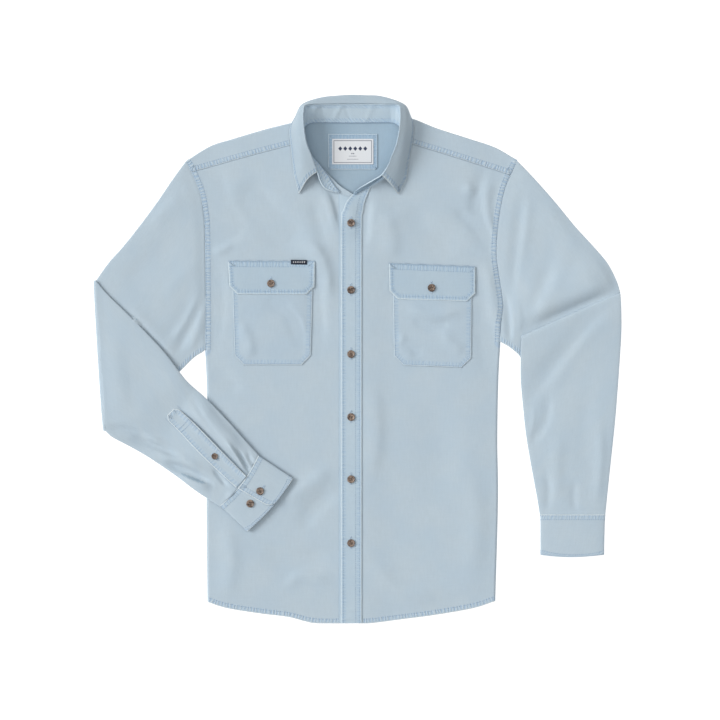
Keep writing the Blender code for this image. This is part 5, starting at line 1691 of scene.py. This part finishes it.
# buttons sit just above the cloth that they are sewn to
UP = (0.0, 0.0, 1.0)
BUTTON_LIFT = 0.35
turns = (0.3, 1.1, 0.7, 0.1, 0.9, 0.5)
for number, y in enumerate(FRONT_BUTTON_Y, start=1):
    top = drop_point(FRONT_BUTTON_X, y, ["placket"])[0]
    make_button("front_button_%d" % number, (FRONT_BUTTON_X, y, top[2] + BUTTON_LIFT), UP, SHIRT_BUTTON,
                horn, turns[number - 1])
for flap, (x, y) in FLAP_BUTTONS.items():
    top = drop_point(x, y, [flap])[0]
    make_button(flap + "_button", (x, y, top[2] + BUTTON_LIFT), UP, SHIRT_BUTTON, horn, 0.2)
for name, (x, y) in CUFF_BUTTONS.items():
    top = drop_point(x, y, ["right_cuff"])[0]
    make_button(name, (x, y, top[2] + BUTTON_LIFT), UP, SHIRT_BUTTON, horn, 0.6)
x, y = RIGHT_GAUNTLET_BUTTON
top = drop_point(x, y, ["right_gauntlet"])[0]
make_button("right_gauntlet_button", (x, y, top[2] + 0.3), UP, SMALL_BUTTON, horn, 0.8)
for name, (x, y) in LEFT_CUFF_BUTTONS.items():
    make_button(name, (x, y, BUTTON_THICK), (0.0, 0.0, -1.0), SHIRT_BUTTON, horn, 0.4)
x, y = LEFT_GAUNTLET_BUTTON
make_button("left_gauntlet_button", (x, y, BUTTON_THICK), (0.0, 0.0, -1.0), SMALL_BUTTON, horn,
            0.4)
row = stand_table()[COLLAR_BUTTON_AT[0]]
foot, top = np.array(row[:3]), np.array(row[3:])
ahead = np.array(stand_table()[COLLAR_BUTTON_AT[0] + 1][:3]) - np.array(
    stand_table()[COLLAR_BUTTON_AT[0] - 1][:3])
out = np.cross(ahead, top - foot)
out /= np.linalg.norm(out) * (-1 if out[2] > 0 else 1)
make_button("collar_button", foot + (top - foot) * COLLAR_BUTTON_AT[1] + out * (STIFF / 2 + SEAM),
            out, SMALL_BUTTON, horn, 0.2)

# topstitching
for armhole, sign, front in ((ARMHOLE_R, -1.0, "right_front"), (ARMHOLE_L, 1.0, "left_front")):
    for gap in TWIN_ROWS:
        sew("body_stitches", beside(Path(armhole).plan(), sign * gap), [front, "yoke"])
for line in (YOKE_SEAM_R, YOKE_SEAM_L):
    for gap in TWIN_ROWS:
        sew("body_stitches", beside(Path(line).plan(), gap), ["yoke"])
for line, front in ((HEM_RIGHT, "right_front"), (HEM_LEFT, "left_front")):
    sew("body_stitches", beside(Path(line).plan(), HEM_ROW), [front])
sew("body_stitches", beside(Path(PLACKET_RIGHT_EDGE).plan(), -PLACKET_ROW), ["placket"])
sew("body_stitches", beside(Path(PLACKET_LEFT_EDGE).plan(), PLACKET_ROW), ["placket"])
sew("body_stitches", beside(Path(PLACKET_LEFT_EDGE).plan(), 9.4), ["placket"])
for side in ("right", "left"):
    pocket, flap = POCKETS[side + "_pocket"], FLAPS[side + "_flap"]
    sew("body_stitches", densely(shift_in(outline(pocket), 2.0)), [side + "_pocket"])
    sew("body_stitches", densely(shift_in(outline(flap), 4.6)), [side + "_flap"])
    for gap in (1.8, 8.6):
        top_edge = [(flap[0][0] + 2, flap[2][0] - gap), (flap[1][0] - 2, flap[2][1] - gap)]
        sew("body_stitches", densely(top_edge), [side + "_flap"])
left, right, top, bottom = NECK_PATCH[0][0], NECK_PATCH[1][0], NECK_PATCH[2][0], NECK_PATCH[3][0]
rim = [(left + 2, bottom + 2), (right - 2, bottom + 2), (right - 2, top - 2), (left + 2, top - 2),
       (left + 2, bottom + 2)]
sew("collar_stitches", densely(rim), ["neck_patch"])
for side, gap in (("end", 6.2), ("first", 6.2), ("last", 6.2)):
    sew_formed("collar_stitches", "collar", side, gap, flip=True)
for side, gap in (("start", 1.8), ("end", 2.2)):
    sew_formed("collar_stitches", "collar_stand", side, gap, flip=True)
for cuff in ("right_cuff", "left_cuff"):
    for side in ("first", "last"):
        for gap in CUFF_ROWS:
            sew_formed("sleeve_stitches", cuff, side, gap, flip=cuff == "right_cuff")
for gap in CUFF_ROWS:
    sew_formed("sleeve_stitches", "right_cuff", "start", gap, flip=True)
path = Path(GAUNTLET_SPINE)
centre = path.plan()
for sign in (-1.0, 1.0):
    sew("sleeve_stitches", beside(centre, sign * 10.4), ["right_gauntlet"], clear=8.0)
for share in (0.185, 0.225):
    here, ahead = path.at(np.array([share, share + 0.02]))[:, :2]
    across = np.array([-(ahead - here)[1], (ahead - here)[0]])
    across /= np.hypot(*across)
    sew("sleeve_stitches", np.array([here - across * 10.5, here + across * 10.5]),
        ["right_gauntlet"], pitch=2.2)
for y in FRONT_BUTTON_Y:
    buttonhole(FRONT_BUTTON_X, y + 0.6, math.pi / 2, ["placket"])
for flap, (x, y) in FLAP_BUTTONS.items():
    buttonhole(x, y + 0.8, math.pi / 2, [flap])
buttonhole(-142.6, -194.6, math.radians(52), ["right_cuff"])
buttonhole(-210.0, -145.5, math.radians(-45), ["right_gauntlet"], half=7.0)

tree = stitch_tree()
SEWN = {}
for number, (name, length, thick, paint) in enumerate((
        ("body_stitches", 2.5, 0.68, thread), ("sleeve_stitches", 2.5, 0.68, thread),
        ("collar_stitches", 2.5, 0.68, thread), ("buttonholes", 2.1, 0.5, hole_thread),
        ("button_threads", 3.9, 0.7, dark_thread))):
    SEWN[name] = make_stitches(tree, name, length, thick, 11 + number, paint)


for name, sheet in SHEETS.items():
    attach(sheet["object"], BODY)
    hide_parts(name)
for name, button in BUTTONS.items():
    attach(button, BODY)
    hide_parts(name)
for name, stitches in SEWN.items():
    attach(stitches, BODY)

# ---- floor, light and camera -----------------------------------------------------------------
FLOOR_REACH = 3.0
FLOOR_DROP = 0.0004
SKY_STRENGTH = 0.42
KEY_RISE = math.radians(36.0)
KEY_FROM = (-0.95, 0.24, 0.0)
# strength and spread (degrees) of each lamp
LAMPS = {"key": (2.33, 30.0), "ceiling": (0.80, 60.0)}
SENSOR = 36.0
CAMERA_HEIGHT = 6.0
VIEW_WIDTH = 1065.6
VIEW_CENTRE = (3.7, -2.2)
MIDDLE_OF_SHIRT = 0.003


def placed(name, data):
    thing = bpy.data.objects.new(name, data)
    bpy.context.scene.collection.objects.link(thing)
    return thing


corners = ((-1, -1), (1, -1), (1, 1), (-1, 1))
floor_mesh = bpy.data.meshes.new("floor")
floor_mesh.from_pydata([(x * FLOOR_REACH, y * FLOOR_REACH, -FLOOR_DROP) for x, y in corners], [],
                       [(0, 1, 2, 3)])
floor_mesh.materials.append(make_floor_finish())
floor = placed("floor", floor_mesh)

world = bpy.data.worlds.new("white room")
bpy.context.scene.world = world
world.use_nodes = True
sky = world.node_tree.nodes["Background"]
sky.inputs["Color"].default_value = (1.0, 1.0, 1.0, 1.0)
sky.inputs["Strength"].default_value = SKY_STRENGTH

lights = {}
for name, (strength, spread) in LAMPS.items():
    lamp = bpy.data.lights.new(name, "SUN")
    lamp.energy = strength
    lamp.angle = math.radians(spread)
    lights[name] = placed(name, lamp)
toward = Vector(KEY_FROM).normalized() * math.cos(KEY_RISE)
toward.z = math.sin(KEY_RISE)
lights["key"].rotation_euler = toward.to_track_quat("Z", "Y").to_euler()

lens = bpy.data.cameras.new("camera")
lens.sensor_width = SENSOR
lens.lens = SENSOR * CAMERA_HEIGHT / (VIEW_WIDTH * MM)
lens.clip_end = 20.0
camera = placed("camera", lens)
camera.location = (VIEW_CENTRE[0] * MM, VIEW_CENTRE[1] * MM, CAMERA_HEIGHT + MIDDLE_OF_SHIRT)
bpy.context.scene.camera = camera
bpy.context.scene.view_settings.view_transform = "Standard"
